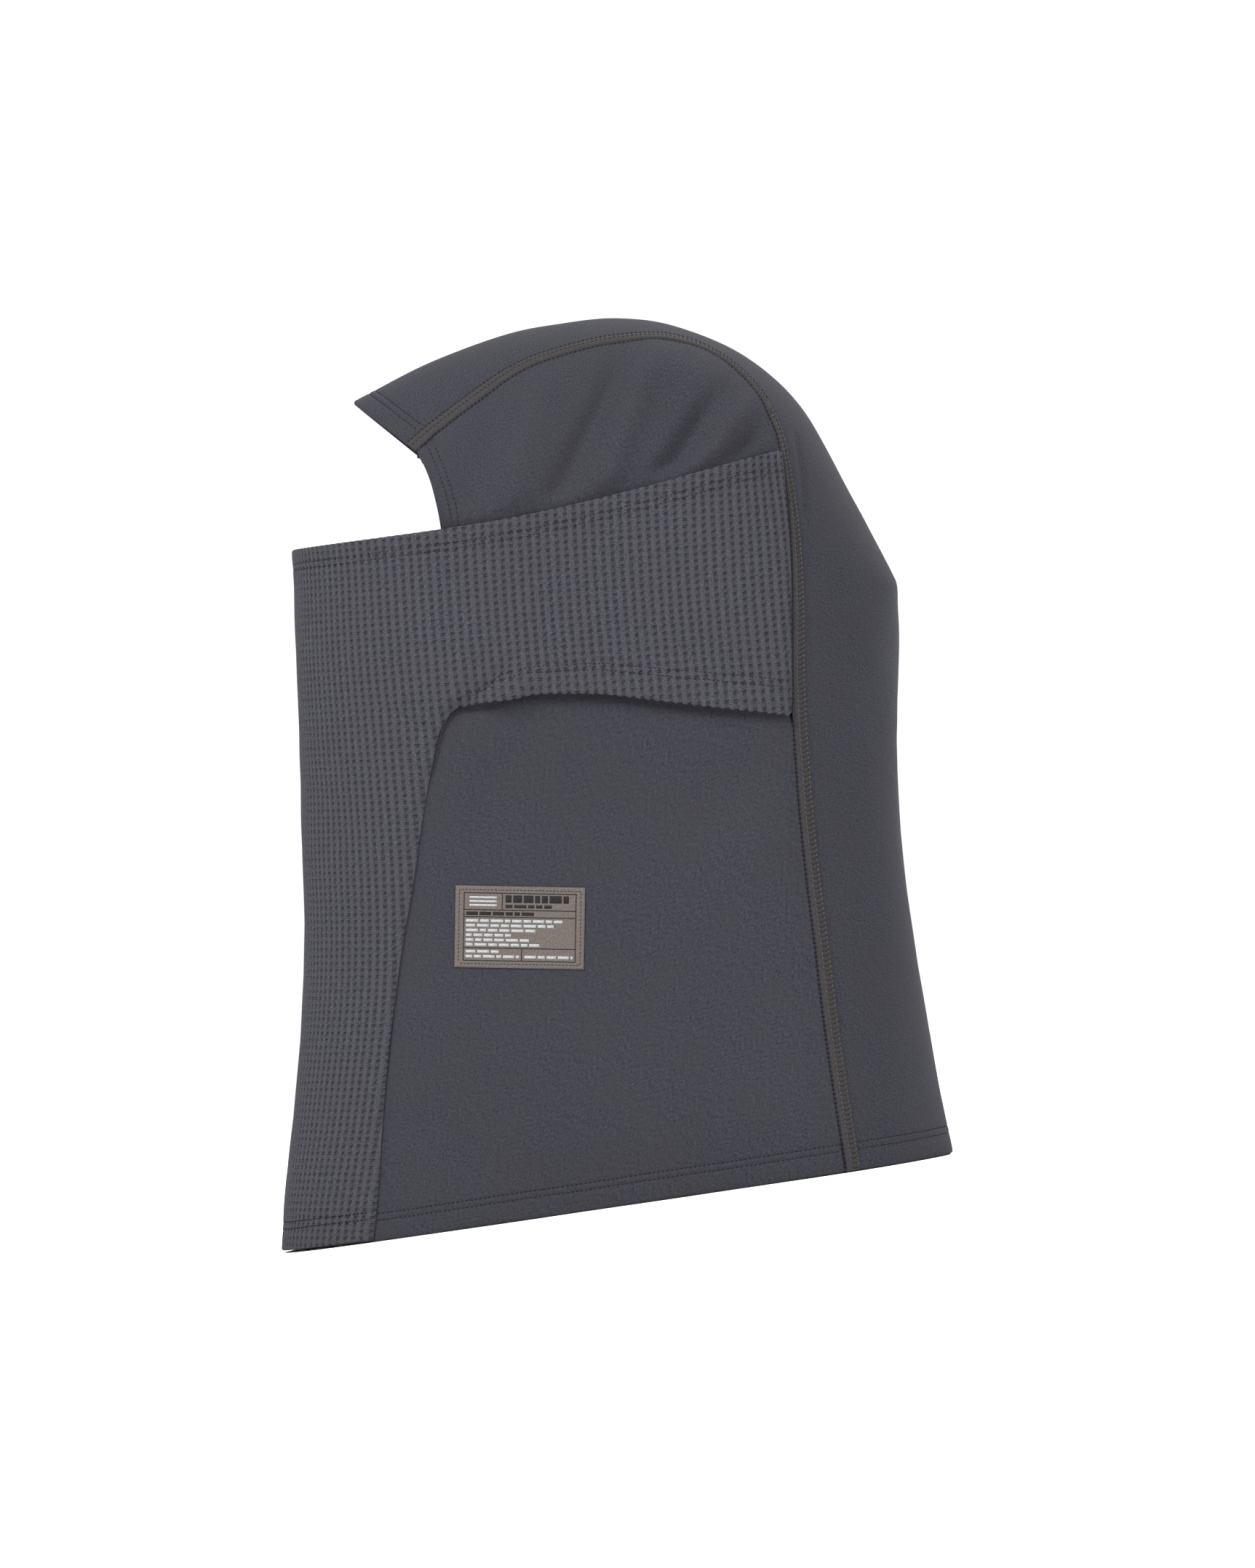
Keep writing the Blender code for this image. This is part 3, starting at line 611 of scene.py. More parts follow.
def soft_mask(w, value, low, high):
    """1 where the value is under low, 0 over high, and a smooth step between."""
    made = w.node("ShaderNodeMapRange", {"interpolation_type": "SMOOTHSTEP"}, Value=value)
    made.inputs["From Min"].default_value = low
    made.inputs["From Max"].default_value = high
    made.inputs["To Min"].default_value = 1.0
    made.inputs["To Max"].default_value = 0.0
    return made.outputs["Result"]


def spun_thread(name, dark, light):
    """Thread: a fine noise for its plies, in its tone and in its relief."""
    material, shader = new_material(name, 0.85)
    w = Weaver(material)
    place = w.node("ShaderNodeTexCoord").outputs["Object"]
    plies = w.noise(place, 2600, 2.0, 0.6)
    w.feed(shader.inputs["Base Color"], w.ramp(plies, 0.35, 0.65, dark, light))
    w.feed(shader.inputs["Normal"], w.bump(plies, 0.5, 0.0002))
    return material


def woven(name, dark, light, pitch):
    """Damask: two sets of fine waves across each other, in metres on the label's own map."""
    material, shader = new_material(name, 0.88)
    w = Weaver(material)
    cloth = w.node("ShaderNodeTexCoord").outputs["UV"]
    split = w.node("ShaderNodeSeparateXYZ", Vector=cloth).outputs
    warp = w.math("SINE", w.math("MULTIPLY", split["X"], 2 * math.pi / pitch))
    weft = w.math("SINE", w.math("MULTIPLY", split["Y"], 2 * math.pi / (1.4 * pitch)))
    weave = w.math("MULTIPLY", warp, weft)
    fuzz = w.noise(cloth, 1500, 3.0, 0.65)
    mixed = w.math("ADD", w.math("MULTIPLY", weave, 0.14), fuzz)
    w.feed(shader.inputs["Base Color"], w.ramp(mixed, 0.30, 0.70, dark, light))
    w.feed(shader.inputs["Normal"], w.bump(mixed, 0.5, 0.0003))
    return material


JERSEY_CLOTH = smooth_jersey()
WAFFLE_CLOTH = waffle_knit()
# light thread: real on the overlock; on the seam cover's knots and flecks and on the face rows' flecks it
# is painted highlights
LIGHT_THREAD_AND_HIGHLIGHTS = spun_thread("light_thread_and_painted_highlights", (0.040, 0.036, 0.034), (0.085, 0.078, 0.074))
SEAM_BASE = spun_thread("seam_base", (0.0185, 0.0172, 0.0176), (0.0330, 0.0310, 0.0315))
RUNG_THREAD = spun_thread("rung_thread", (0.009, 0.0085, 0.0085), (0.020, 0.019, 0.019))
# stitch thread painted far darker than the real thread, which is near the cloth's tone: painted shade of
# the grooves it sits in
THREAD_WITH_PAINTED_SHADE = spun_thread("thread_with_painted_shade", (0.004, 0.004, 0.005), (0.013, 0.012, 0.014))
LABEL_CLOTH = woven("label_cloth", (0.056, 0.046, 0.042), (0.112, 0.095, 0.087), 0.00035)
LABEL_DARK = woven("label_dark_yarn", (0.008, 0.007, 0.007), (0.022, 0.020, 0.019), 0.00035)
LABEL_LIGHT = woven("label_light_yarn", (0.19, 0.195, 0.195), (0.34, 0.35, 0.36), 0.00035)


# ======== smooth panels ==========================================================================


def with_folds(rows):
    """The dense rows pushed along their normals by the shared folds and by the upper ones."""
    return rows + (folds(rows) + upper_folds(rows))[..., None] * normals_of(rows)


def crown_cloth_grid():
    """Crown and back panel, brim to hem. Row k runs from the left crown seam over the outline to
    the right one, between points at the same share of both curves' lengths."""
    back = curve(CROWN_AND_BACK)
    seam = curve(CROWN_SEAM)
    total = lengths(back)[-1]
    shares = spread(total, edge_stops(BRIM_ROWS), edge_stops(HEM_ROWS), 205)
    rows = rows_of(resample(back, shares), resample(seam, shares), HOOD_OUTLINE, both_sides=True)
    return across_rows(with_folds(rows), edge_stops((), 0), edge_stops((), 0), 128)


def across_rows(rows, head, tail, count):
    """Every row sampled again at the head's and the tail's stops and evenly between them."""
    return np.array([resample(row, spread(lengths(row)[-1], head, tail, count)) for row in rows])


GAP_DEPTH = 0.0019  # how far the jersey sinks under the arch's edge
GAP_WIDTH = 0.0026


def side_cloth_grid():
    """Side panel. Rows fan out from the face edge above the mask's top and run level below it, to
    the crown seam behind; the front edge goes on down behind the bib."""
    under_bib = [(back - BIB_LAP, up) for back, up in BIB_SEAM[-2::-1]]
    front = curve(FACE_EDGE + under_bib)
    seam = curve(CROWN_SEAM)
    total = lengths(seam)[-1]
    shares = spread(total, np.array([0, 0.0004]), edge_stops(HEM_ROWS), 262)
    fan_foot = placed(MASK_TOP[0])[1]
    painted_highlights = [0, share_below(seam, fan_foot), 1]
    front_shares = np.interp(shares, painted_highlights, [0, share_below(front, fan_foot), 1])
    starts = resample(front, front_shares)
    ends = resample(seam, shares)
    starts[0] = starts[0] + 0.6 * (starts[1] - starts[0]) + [0, -0.0003]
    rows = with_folds(rows_of(starts, ends, HOOD_OUTLINE))
    from_arch = distance_to([curve(ARCH) + [0, 0.0006]], rows[..., 1:].reshape(-1, 2))
    dip = GAP_DEPTH * np.exp(-((from_arch.reshape(rows.shape[:2]) / GAP_WIDTH) ** 2))
    rows = rows - dip[..., None] * normals_of(rows)
    return across_rows(rows, edge_stops(FACE_ROWS), edge_stops((), 0), 112)


def share_below(path, up):
    """Share of a path's length at which it last passes a height on its way down."""
    along = lengths(path)
    above = np.nonzero(path[:, 1] > up)[0][-1]
    return along[above] / along[-1]


def jersey_piece(name, grid, head_rows, tail_rows, start_rows):
    """Smooth cloth slab with turned hems along its first and last rows, where they have stitch
    rows, and along its first column, where start_rows gives them."""
    across = arc_table(grid, 1)
    down = arc_table(grid, 0)
    from_start, from_end = across, across[:, -1:] - across
    from_head, from_tail = down, down[-1:] - down
    edge = np.minimum(np.minimum(from_start, from_end), np.minimum(from_head, from_tail))
    thickness = np.full(edge.shape, JERSEY)
    relief = np.zeros(edge.shape)
    for distance, rows in ((from_head, head_rows), (from_tail, tail_rows), (from_start, start_rows)):
        if rows:
            turned = smoothstep((rows[1] + 0.0012 - distance) / 0.0006)
            thickness = np.maximum(thickness, JERSEY + TURNED_HEM * turned)
            relief = relief + groove(distance, rows)
    uv = np.dstack([across - across[:, -1:] / 2, down])
    return cloth_slab(name, grid, normals_of(grid), thickness, edge, relief, JERSEY_CLOTH, uv)


# ======== waffle mask and bib =====================================================================

TILT_MASK = 0.077  # pit rows fall by this much for each length back, on the mask
TILT_BIB = 0.125
LATTICE_TOP = 318.0
LATTICE_FOOT = -6.0
LATTICE_BACK = 262.0
REAR_TUCK = 0.004  # over this length the cloth thins into the seam behind it
TUCK_SINK = 0.00150  # how far its outer face drops there
TUCK_THINNING = 0.48  # and the share of its thickness that it loses
ARCH_LIFT = 0.0019  # how far the arch's free edge stands off the hood
ARCH_LIFT_REACH = 0.011
TOP_LIFT = 0.0007
TOP_LIFT_REACH = 0.010
ARCH_CORNER = 0.1054  # where the arch starts, as a length round from the front's middle
ARCH_CLOSING = 0.7  # share of their distance that the arch's stitch rows lose at that corner
ARCH_CLOSING_LENGTH = 0.018
SCALLOP = 0.00032  # how far the ribs' valleys draw the arch's edge in
SCALLOP_REACH = 0.004
ROW_DIP = 0.00030  # how deep a stitch row presses into the knit
ROW_DIP_WIDTH = 0.0006
RIM_STEP = 0.00125
RIM_SOFTNESS = 0.0011  # radius, more or less, of the cloth's rounded corners


def row_tilt(up):
    """Fall of the pit rows for each length back, from the bib's to the mask's."""
    return TILT_BIB + (TILT_MASK - TILT_BIB) * smoothstep((up - 190) / 50)


MASK_FOLDS = [  # on the waffle cloth only: four fan out from the arch's front corner
    ((101, 204), (136, 230), 3.4, 1.0),
    ((104, 202), (146, 222), 3.2, -0.8),
    ((98, 208), (122, 242), 4.4, -0.7),
    ((97, 200), (74, 220), 4.0, 0.8),
    ((238, 205), (196, 222), 7.0, 0.7),
    ((60, 150), (44, 196), 9.0, 0.7),
]


class Lattice:
    """The waffle cloth laid out flat. A place on it is (across, up) in metres: across is the
    length round the hood from the middle of the front, positive to the wearer's left, and up is
    the height at which the place's row of pits meets the front."""

    def __init__(self):
        step_up = PIT_PITCH / ROWS_PER_PIT
        self.ups = np.arange(LATTICE_FOOT * MM // step_up, LATTICE_TOP * MM // step_up) * step_up
        line = spline(FRONT_RUN_ON)
        high = self.ups / HOOD_HEIGHT * PATTERN_HEIGHT
        near = np.interp(high, line[:, 1], line[:, 0])
        starts = placed(np.column_stack([near, high])) + SET_IN
        fall = row_tilt(high) * (LATTICE_BACK - near)
        ends = placed(np.column_stack([np.full_like(high, LATTICE_BACK), high - fall]))
        rows = rows_of(starts, ends, MASK_OUTLINE)
        rows[:, 0, 0] = 0
        step_across = RIB_PITCH / COLUMNS_PER_RIB
        reach = min(lengths(row)[-1] for row in rows)
        half = int(reach // step_across)
        self.acrosses = np.arange(-half, half + 1) * step_across
        right = np.array([sampled(row, lengths(row), self.acrosses[half:]) for row in rows])
        whole = np.concatenate([right[:, :0:-1] * MIRROR, right], axis=1)
        push = folds(whole) + folds(whole, MASK_FOLDS)
        self.base = whole + push[..., None] * normals_of(whole)
        self.normal = normals_of(self.base)
        self.half = half

    def look_up(self, grid, across, up):
        """Values of a table laid on the lattice at places on the cloth."""
        rows = (up - self.ups[0]) / (self.ups[-1] - self.ups[0])
        columns = (across - self.acrosses[0]) / (self.acrosses[-1] - self.acrosses[0])
        return at(grid, rows, columns)

    def place_of(self, pattern):
        """Places on the cloth of side-view points: the row is found by going forward from the
        point along its tilt, a few times over, and the length round by looking up how far along
        that row the point lies back."""
        back, high = pattern[:, 0], pattern[:, 1]
        line = spline(FRONT_RUN_ON)
        up = high.copy()
        for _ in range(12):
            up = high + row_tilt(up) * (back - np.interp(up, line[:, 1], line[:, 0]))
        right = self.base[:, self.half:, 1]
        backs = np.linspace(right.min(), right.max(), 700)
        table = np.array([np.interp(backs, row, self.acrosses[self.half:]) for row in right])
        up = up / PATTERN_HEIGHT * HOOD_HEIGHT
        y = placed(pattern)[:, 0]
        rows = (up - self.ups[0]) / (self.ups[-1] - self.ups[0])
        columns = (y - backs[0]) / (backs[-1] - backs[0])
        across = at(table[..., None], rows, columns)[:, 0]
        return np.column_stack([across, up])


REAR_TOP = 304  # above the mask and below the crown's turn, where the seam still climbs


def rear_seam(low, high):
    """The crown seam's stretch behind the mask, climbing, in pattern millimetres."""
    seam = spline(CROWN_SEAM)
    rising = seam[seam[:, 1].argsort()]
    rising = rising[rising[:, 1] < REAR_TOP]
    heights = np.linspace(low, high, 60)
    return np.column_stack([np.interp(heights, rising[:, 1], rising[:, 0]), heights])


def fine(points):
    return spline(points, 14)


def waffle_edges(lattice):
    """The cloth's edges on the wearer's left as paths on the lattice, in order from the hem's
    middle: hem, bib seam, arch, rear seam and top edge."""
    hem = np.column_stack([np.linspace(FRONT[0][0] + 0.5, BIB_SEAM[0][0], 60), np.zeros(60)])
    parts = {
        "hem": hem,
        "bib_seam": fine(BIB_SEAM),
        "arch": fine(ARCH),
        "rear": rear_seam(ARCH[-1][1], MASK_TOP[-1][1]) - [0.2, 0],
        "top": fine(MASK_TOP)[::-1],
    }
    edges = {name: lattice.place_of(path) for name, path in parts.items()}
    edges["hem"][0, 0] = 0
    edges["top"][-1, 0] = 0
    return edges


def rounded_ring(path, step, softness):
    """A closed path at even steps, its corners rounded by averaging over a bell of that width."""
    closed = np.vstack([path, path[:1]])
    total = lengths(closed)[-1]
    fine_step = step / 4
    ring = resample(closed, np.linspace(0, 1, int(total / fine_step), endpoint=False))
    reach = int(3 * softness / fine_step)
    bell = np.exp(-0.5 * (np.arange(-reach, reach + 1) * fine_step / softness) ** 2)
    bell /= bell.sum()
    padded = np.vstack([ring[-reach:], ring, ring[:reach]])
    smooth = np.column_stack([np.convolve(axis, bell, "valid") for axis in padded.T])
    smooth = np.vstack([smooth, smooth[:1]])
    return resample(smooth, np.linspace(0, 1, int(total / step), endpoint=False))


def inside(ring, acrosses, ups):
    """Table of whether each place of the lattice lies in the closed ring. Each row is counted
    through the ring's crossings of it: a place is inside after an odd number of them."""
    nxt = np.roll(ring, -1, axis=0)
    table = np.zeros((len(ups), len(acrosses)), bool)
    for k, up in enumerate(ups):
        crossed = (ring[:, 1] > up) != (nxt[:, 1] > up)
        a, b = ring[crossed], nxt[crossed]
        places = np.sort(a[:, 0] + (up - a[:, 1]) / (b[:, 1] - a[:, 1]) * (b[:, 0] - a[:, 0]))
        table[k] = np.searchsorted(places, acrosses) % 2 == 1
    return table


def near_ring(ring, acrosses, ups, reach):
    """Table of the lattice's places that may lie within reach of the ring."""
    table = np.zeros((len(ups), len(acrosses)), bool)
    row = np.rint((ring[:, 1] - ups[0]) / (ups[1] - ups[0])).astype(int)
    column = np.rint((ring[:, 0] - acrosses[0]) / (acrosses[1] - acrosses[0])).astype(int)
    rows_off = int(reach / (ups[1] - ups[0])) + 2
    columns_off = int(reach / (acrosses[1] - acrosses[0])) + 3
    for down in range(-rows_off, rows_off + 1):
        for along in range(-columns_off, columns_off + 1):
            r = np.clip(row + down, 0, len(ups) - 1)
            table[r, np.clip(column + along, 0, len(acrosses) - 1)] = True
    return table


def filled(ring, acrosses, ups, clearance):
    """Flat mesh inside a ring: square cells of the lattice wherever they lie clear of the ring,
    and triangles in the band that is left. The ring's points come first."""
    columns, rows = np.meshgrid(acrosses, ups)
    lattice = np.column_stack([columns.ravel(), rows.ravel()])
    loop = np.vstack([ring, ring[:1]])
    keep = inside(ring, acrosses, ups)
    doubtful = keep & near_ring(ring, acrosses, ups, clearance)
    keep[doubtful] = distance_to([loop], lattice[doubtful.ravel()]) > clearance
    cell = keep[:-1, :-1] & keep[:-1, 1:] & keep[1:, 1:] & keep[1:, :-1]
    used = np.zeros_like(keep)
    for shift in ((0, 0), (0, 1), (1, 0), (1, 1)):
        used[shift[0]:shift[0] + cell.shape[0], shift[1]:shift[1] + cell.shape[1]] |= cell
    number = np.full(keep.shape, -1)
    number[used] = len(ring) + np.arange(used.sum())
    quads = grid_faces(number)[cell.ravel()]
    points = np.vstack([ring, lattice[used.ravel()]])
    sides = np.vstack([quads[:, [k, (k + 1) % 4]] for k in range(4)])
    ordered = np.sort(sides, axis=1)
    _, first, count = np.unique(ordered, axis=0, return_index=True, return_counts=True)
    border = sides[first[count == 1]]
    band = np.unique(border)
    spare = np.nonzero((keep & ~used).ravel())[0]
    near = np.concatenate([np.arange(len(ring)), band])
    place = {int(old): new for new, old in enumerate(near)}
    edges = [(k, (k + 1) % len(ring)) for k in range(len(ring))]
    edges += [(place[int(a)], place[int(b)]) for a, b in border]
    corners = np.vstack([points[near], lattice[spare]]) * 1000
    result = delaunay_2d_cdt([tuple(p) for p in corners], edges, [], 1, 1e-7)
    if len(result[0]) != len(corners):
        raise ValueError("the band of the waffle cloth met itself")
    triangles = np.array([face for face in result[2] if len(face) == 3])
    source = np.array([origins[0] for origins in result[3]])
    triangles = source[triangles]
    middle = corners[triangles].mean(axis=1) / 1000
    column = np.floor((middle[:, 0] - acrosses[0]) / (acrosses[1] - acrosses[0])).astype(int)
    row = np.floor((middle[:, 1] - ups[0]) / (ups[1] - ups[0])).astype(int)
    in_table = (row >= 0) & (row < cell.shape[0]) & (column >= 0) & (column < cell.shape[1])
    in_cell = np.zeros(len(triangles), bool)
    in_cell[in_table] = cell[row[in_table], column[in_table]]
    whole = np.concatenate([near, len(points) + np.arange(len(spare))])
    triangles = whole[triangles[~in_cell]]
    return np.vstack([points, lattice[spare]]), quads, triangles


def from_edge(edges, name, places):
    """Distance from an edge of the waffle cloth, the same on both sides of the hood."""
    folded = np.column_stack([np.abs(places[:, 0]), places[:, 1]])
    return distance_to([edges[name]], folded)


def arch_share(across):
    """Share of their full distance from the arch's edge at which its stitch rows run. They close
    in on the edge towards the front corner, with an exponential of the length from it."""
    return 1 - ARCH_CLOSING * np.exp(-np.clip(across - ARCH_CORNER, 0, None) / ARCH_CLOSING_LENGTH)


def waffle_relief(places, edges):
    """Height of the knit over the cloth's outer face. Ribs are a cosine across, and pits a cosine
    up that only works in the valleys between ribs. Stitch rows press a narrow dip into it."""
    valley = (1 - np.cos(2 * np.pi * places[:, 0] / RIB_PITCH)) / 2
    pit = (1 + np.cos(2 * np.pi * places[:, 1] / PIT_PITCH)) / 2
    relief = -valley * (RIB_DEPTH + PIT_DEPTH * pit)
    for name, rows in (("top", MASK_TOP_ROWS), ("arch", ARCH_ROWS), ("hem", HEM_ROWS)):
        distance = from_edge(edges, name, places)
        if name == "arch":
            distance = distance / arch_share(np.abs(places[:, 0]))
        for row in rows:
            relief -= ROW_DIP * np.exp(-(((distance - row) / ROW_DIP_WIDTH) ** 2))
    return relief


def waffle_lift(places, edges):
    """Height of the waffle cloth's outer face over the hood's form, and its thickness. It lies
    LAYER_GAP off, thins into the rear seam and the bib seam, and stands off a little at its
    free edges."""
    names = ("rear", "bib_seam", "arch", "top")
    rear, bib, arch, top = (from_edge(edges, name, places) for name in names)
    tuck = 1 - smoothstep(np.minimum(rear, bib) / REAR_TUCK)
    free = smoothstep((rear - 0.004) / 0.03)
    off_bib = smoothstep((bib - 0.002) / 0.02)
    lift = OUTER_OUT - TUCK_SINK * tuck
    lift = lift + ARCH_LIFT * free * off_bib * np.exp(-((arch / ARCH_LIFT_REACH) ** 2))
    thick = WAFFLE * (1 - TUCK_THINNING * tuck)
    return lift + TOP_LIFT * free * np.exp(-((top / TOP_LIFT_REACH) ** 2)), thick


def waffle_cloth(lattice, edges):
    """The mask and bib as one closed cloth: an outer wall on the lattice with the knit's relief, a
    plainer inner wall, and a rounded rim of rings between them."""
    half = np.vstack(list(edges.values()))
    other = (half * [-1, 1])[::-1]
    ring = rounded_ring(np.vstack([half, other[1:-1]]), RIM_STEP, RIM_SOFTNESS)
    forward = unit(np.roll(ring, -1, axis=0) - np.roll(ring, 1, axis=0))
    inwards = np.column_stack([-forward[:, 1], forward[:, 0]])
    turn = np.cross(ring - ring.mean(axis=0), np.roll(ring, -1, axis=0) - ring).sum()
    if turn < 0:
        inwards = -inwards
    by_arch, by_top = (
        np.exp(-((from_edge(edges, name, ring) / SCALLOP_REACH) ** 2)) for name in ("arch", "top")
    )
    valleys = 1 - np.cos(2 * np.pi * ring[:, 0] / RIB_PITCH)
    scallop = (SCALLOP * by_arch + 0.3 * SCALLOP * by_top) * valleys
    ring = ring + scallop[:, None] * inwards
    depths = WAFFLE / 2 * np.array([1.0, 0.62, 0.29, 0.08])
    rings = [ring + depth * inwards for depth in depths]
    outer, outer_quads, outer_tris = filled(rings[0], lattice.acrosses, lattice.ups, 0.0005)
    inner, inner_quads, inner_tris = filled(
        rings[0], lattice.acrosses[::COLUMNS_PER_RIB], lattice.ups[::2 * ROWS_PER_PIT], 0.0012
    )
    between = np.vstack(rings[1:] + [ring] + rings[:0:-1])
    places = np.vstack([outer, between, inner])
    count = len(ring)
    levels = np.concatenate([
        np.full(len(outer), 1.0),
        np.repeat([rim_share(d) for d in depths[1:]] + [0.0], count),
        np.repeat([-rim_share(d) for d in depths[:0:-1]], count),
        np.full(len(inner), -1.0),
    ])
    lift, thick = waffle_lift(places, edges)
    relief = waffle_relief(places, edges) * np.clip(levels, 0, 1)
    height = lift - thick / 2 + levels * thick / 2 + relief
    base = lattice.look_up(lattice.base, places[:, 0], places[:, 1])
    normal = lattice.look_up(lattice.normal, places[:, 0], places[:, 1])
    points = base + height[:, None] * normal
    first_between = len(outer)
    first_inner = len(outer) + len(between)
    loops = [np.arange(count)]
    loops += [first_between + k * count + np.arange(count) for k in range(len(between) // count)]
    loops += [first_inner + np.arange(count)]
    table = np.array(loops)
    table = np.hstack([table, table[:, :1]])
    rim = grid_faces(table)
    if not same_turn(outer, outer_quads, rim, points, normal):
        rim = rim[:, ::-1]
    faces = [
        facing(outer, outer_quads), facing(outer, outer_tris), rim,
        first_inner + facing(inner, inner_quads)[:, ::-1],
        first_inner + facing(inner, inner_tris)[:, ::-1],
    ]
    uv = places / [RIB_PITCH, PIT_PITCH]
    return make_piece("waffle_mask_and_bib", points, faces, WAFFLE_CLOTH, uv)


def rim_share(depth):
    """Half-thickness share of a rounded rim at a depth in from its edge."""
    return math.sqrt(1 - (1 - depth / (WAFFLE / 2)) ** 2)


def facing(flat, faces):
    """Faces of a flat mesh, all turned the same way round."""
    a, b, c = flat[faces[:, 0]], flat[faces[:, 1]], flat[faces[:, 2]]
    turn = (b[:, 0] - a[:, 0]) * (c[:, 1] - a[:, 1]) - (b[:, 1] - a[:, 1]) * (c[:, 0] - a[:, 0])
    return np.where((turn > 0)[:, None], faces, faces[:, ::-1])


def same_turn(flat, quads, rim, points, normal):
    """Whether the rim's faces look away from the cloth, as the outer wall's do."""
    wall = facing(flat, quads[:1])[0]
    wall_normal = np.cross(points[wall[1]] - points[wall[0]], points[wall[2]] - points[wall[0]])
    sign = np.sign(wall_normal @ normal[wall[0]])
    corner = points[rim[: len(rim) // 7]]
    rim_normal = np.cross(corner[:, 1] - corner[:, 0], corner[:, 3] - corner[:, 0])
    near = normal[rim[: len(rim) // 7, 0]]
    return np.sign((rim_normal * near).sum()) == sign


# ======== stitches ================================================================================


def stitches(starts, ends, normals, radius, bow, sides=6, rings=5):
    """Points and faces of many short threads. Each is a tube from its start to its end whose
    middle line rises over the cloth by bow times one less the square of the place along it, and
    whose ends close to a point below the surface."""
    along = np.linspace(-1, 1, rings)
    turn = 2 * np.pi * np.arange(sides) / sides
    run = ends - starts
    length = np.linalg.norm(run, axis=1, keepdims=True)
    forward = run / np.maximum(length, 1e-9)
    across = np.cross(normals, forward)
    across /= np.maximum(np.linalg.norm(across, axis=1, keepdims=True), 1e-9)
    centre = (starts + ends) / 2
    middle = centre[:, None] + (run / 2)[:, None] * along[:, None]
    middle = middle + (bow * (1 - along**2))[:, None] * normals[:, None]
    thick = radius * np.sqrt(1 - (0.93 * along) ** 2)
    round_it = np.cos(turn)[:, None] * across[:, None, None]
    round_it = round_it + np.sin(turn)[:, None] * normals[:, None, None]
    tube = middle[:, :, None] + thick[:, None, None] * round_it
    tips = np.stack([starts - 0.2 * radius * forward, ends + 0.2 * radius * forward], axis=1)
    each = rings * sides + 2
    points = np.concatenate([tube.reshape(len(starts), -1, 3), tips], axis=1).reshape(-1, 3)
    index = np.arange(rings * sides).reshape(rings, sides)
    walls = grid_faces(np.hstack([index, index[:, :1]]))
    here = np.arange(sides)
    nxt = np.roll(here, -1)
    first_cap = np.column_stack([nxt, here, np.full(sides, rings * sides)])
    last = (rings - 1) * sides
    last_cap = np.column_stack([last + here, last + nxt, np.full(sides, rings * sides + 1)])
    caps = np.vstack([first_cap, last_cap])
    shift = (each * np.arange(len(starts)))[:, None, None]
    return points, [(walls + shift).reshape(-1, 4), (caps + shift).reshape(-1, 3)]


def joined(parts):
    """Several (points, faces) meshes as one, with their vertex numbers moved on."""
    points, quads, tris, count = [], [], [], 0
    for some, faces in parts:
        points.append(some)
        for table in faces:
            (quads if table.shape[1] == 4 else tris).append(table + count)
        count += len(some)
    return np.vstack(points), [np.vstack(t) for t in (quads, tris) if t]


def stepped(path, normals, pitch, length):
    """Starts, ends and normals of stitches of a length at every pitch along a path."""
    along = lengths(path)
    count = max(1, int((along[-1] - length) / pitch))
    first = (along[-1] - count * pitch) / 2
    places = first + pitch * np.arange(count)
    normal = unit(sampled(normals, along, places + length / 2))
    return sampled(path, along, places), sampled(path, along, places + length), normal


STITCH_PITCH = 0.0019
STITCH_LENGTH = 0.00125
STITCH_RADIUS = 0.00021
STITCH_SINK = 0.00006


def row_of_stitches(path, normals, pitch=STITCH_PITCH, length=STITCH_LENGTH,
                    radius=STITCH_RADIUS, sink=STITCH_SINK, bow=0.00012):
    """One row of short stitches along a path, their middles lifted by sink and bow."""
    starts, ends, normal = stepped(path, normals, pitch, length)
    return stitches(starts + sink * normal, ends + sink * normal, normal, radius, bow)


def mirror(grid):
    return grid * MIRROR


def turned(mesh):
    """A mesh's mirror image across the middle, with its faces turned."""
    points, faces = mesh
    return mirror(points), [table[:, ::-1] for table in faces]


def both_sides(mesh):
    """A mesh and its mirror image as one."""
    return joined([mesh, turned(mesh)])


def as_made(shape):
    return shape


MESH_SIDES = (("left", as_made), ("right", turned))
GRID_SIDES = (("left", as_made), ("right", mirror))


def along_edge(grid, distance, which):
    """Line of a grid at a distance from its first row, last row or first column, with the
    normals there and a dip of the groove's depth."""
    normal = normals_of(grid)
    sunk = grid - GROOVE_DEPTH * normal
    if which == "start":
        rows = np.linspace(0, 1, grid.shape[0])
        columns = shares_at(arc_table(grid, 1), distance)
    else:
        down = arc_table(grid, 0)
        columns = np.linspace(0, 1, grid.shape[1])
        rows = shares_at(down.T, distance)
        if which == "tail":
            rows = 1 - shares_at((down[-1:] - down)[::-1].T, distance)
    return at(sunk, rows, columns), at(normal, rows, columns)


# ======== seam covers ==============================================================================


LADDER_FROM = 0.36  # share of the seam at which dotted rows turn into a ladder
RUNG_PITCH = 0.0020
RUNG_SHARES = (0.10, 0.92)  # the rungs' two ends, as shares of the cover's width
# places across the cover of the painted highlights: light knots down the back, light flecks along the front
REAR_HIGHLIGHT_SHARES = (0.30, 0.80)
DOT_SHARES = (0.48, 0.92)
FRONT_HIGHLIGHT_SHARES = (0.30, 0.72)


def cover_bands(crown):
    """Points and normals of the lines beside the crown seam on the wearer's left: a function of
    the distance from the seam."""
    normal = normals_of(crown)
    across = arc_table(crown, 1)
    from_end = (across[:, -1:] - across)[:, ::-1]
    rows = np.linspace(0, 1, crown.shape[0])

    def line(distance, lift=0.0):
        share = 1 - shares_at(from_end, distance)
        there = at(normal, rows, share)
        return at(crown, rows, share) + lift * there, there

    return line


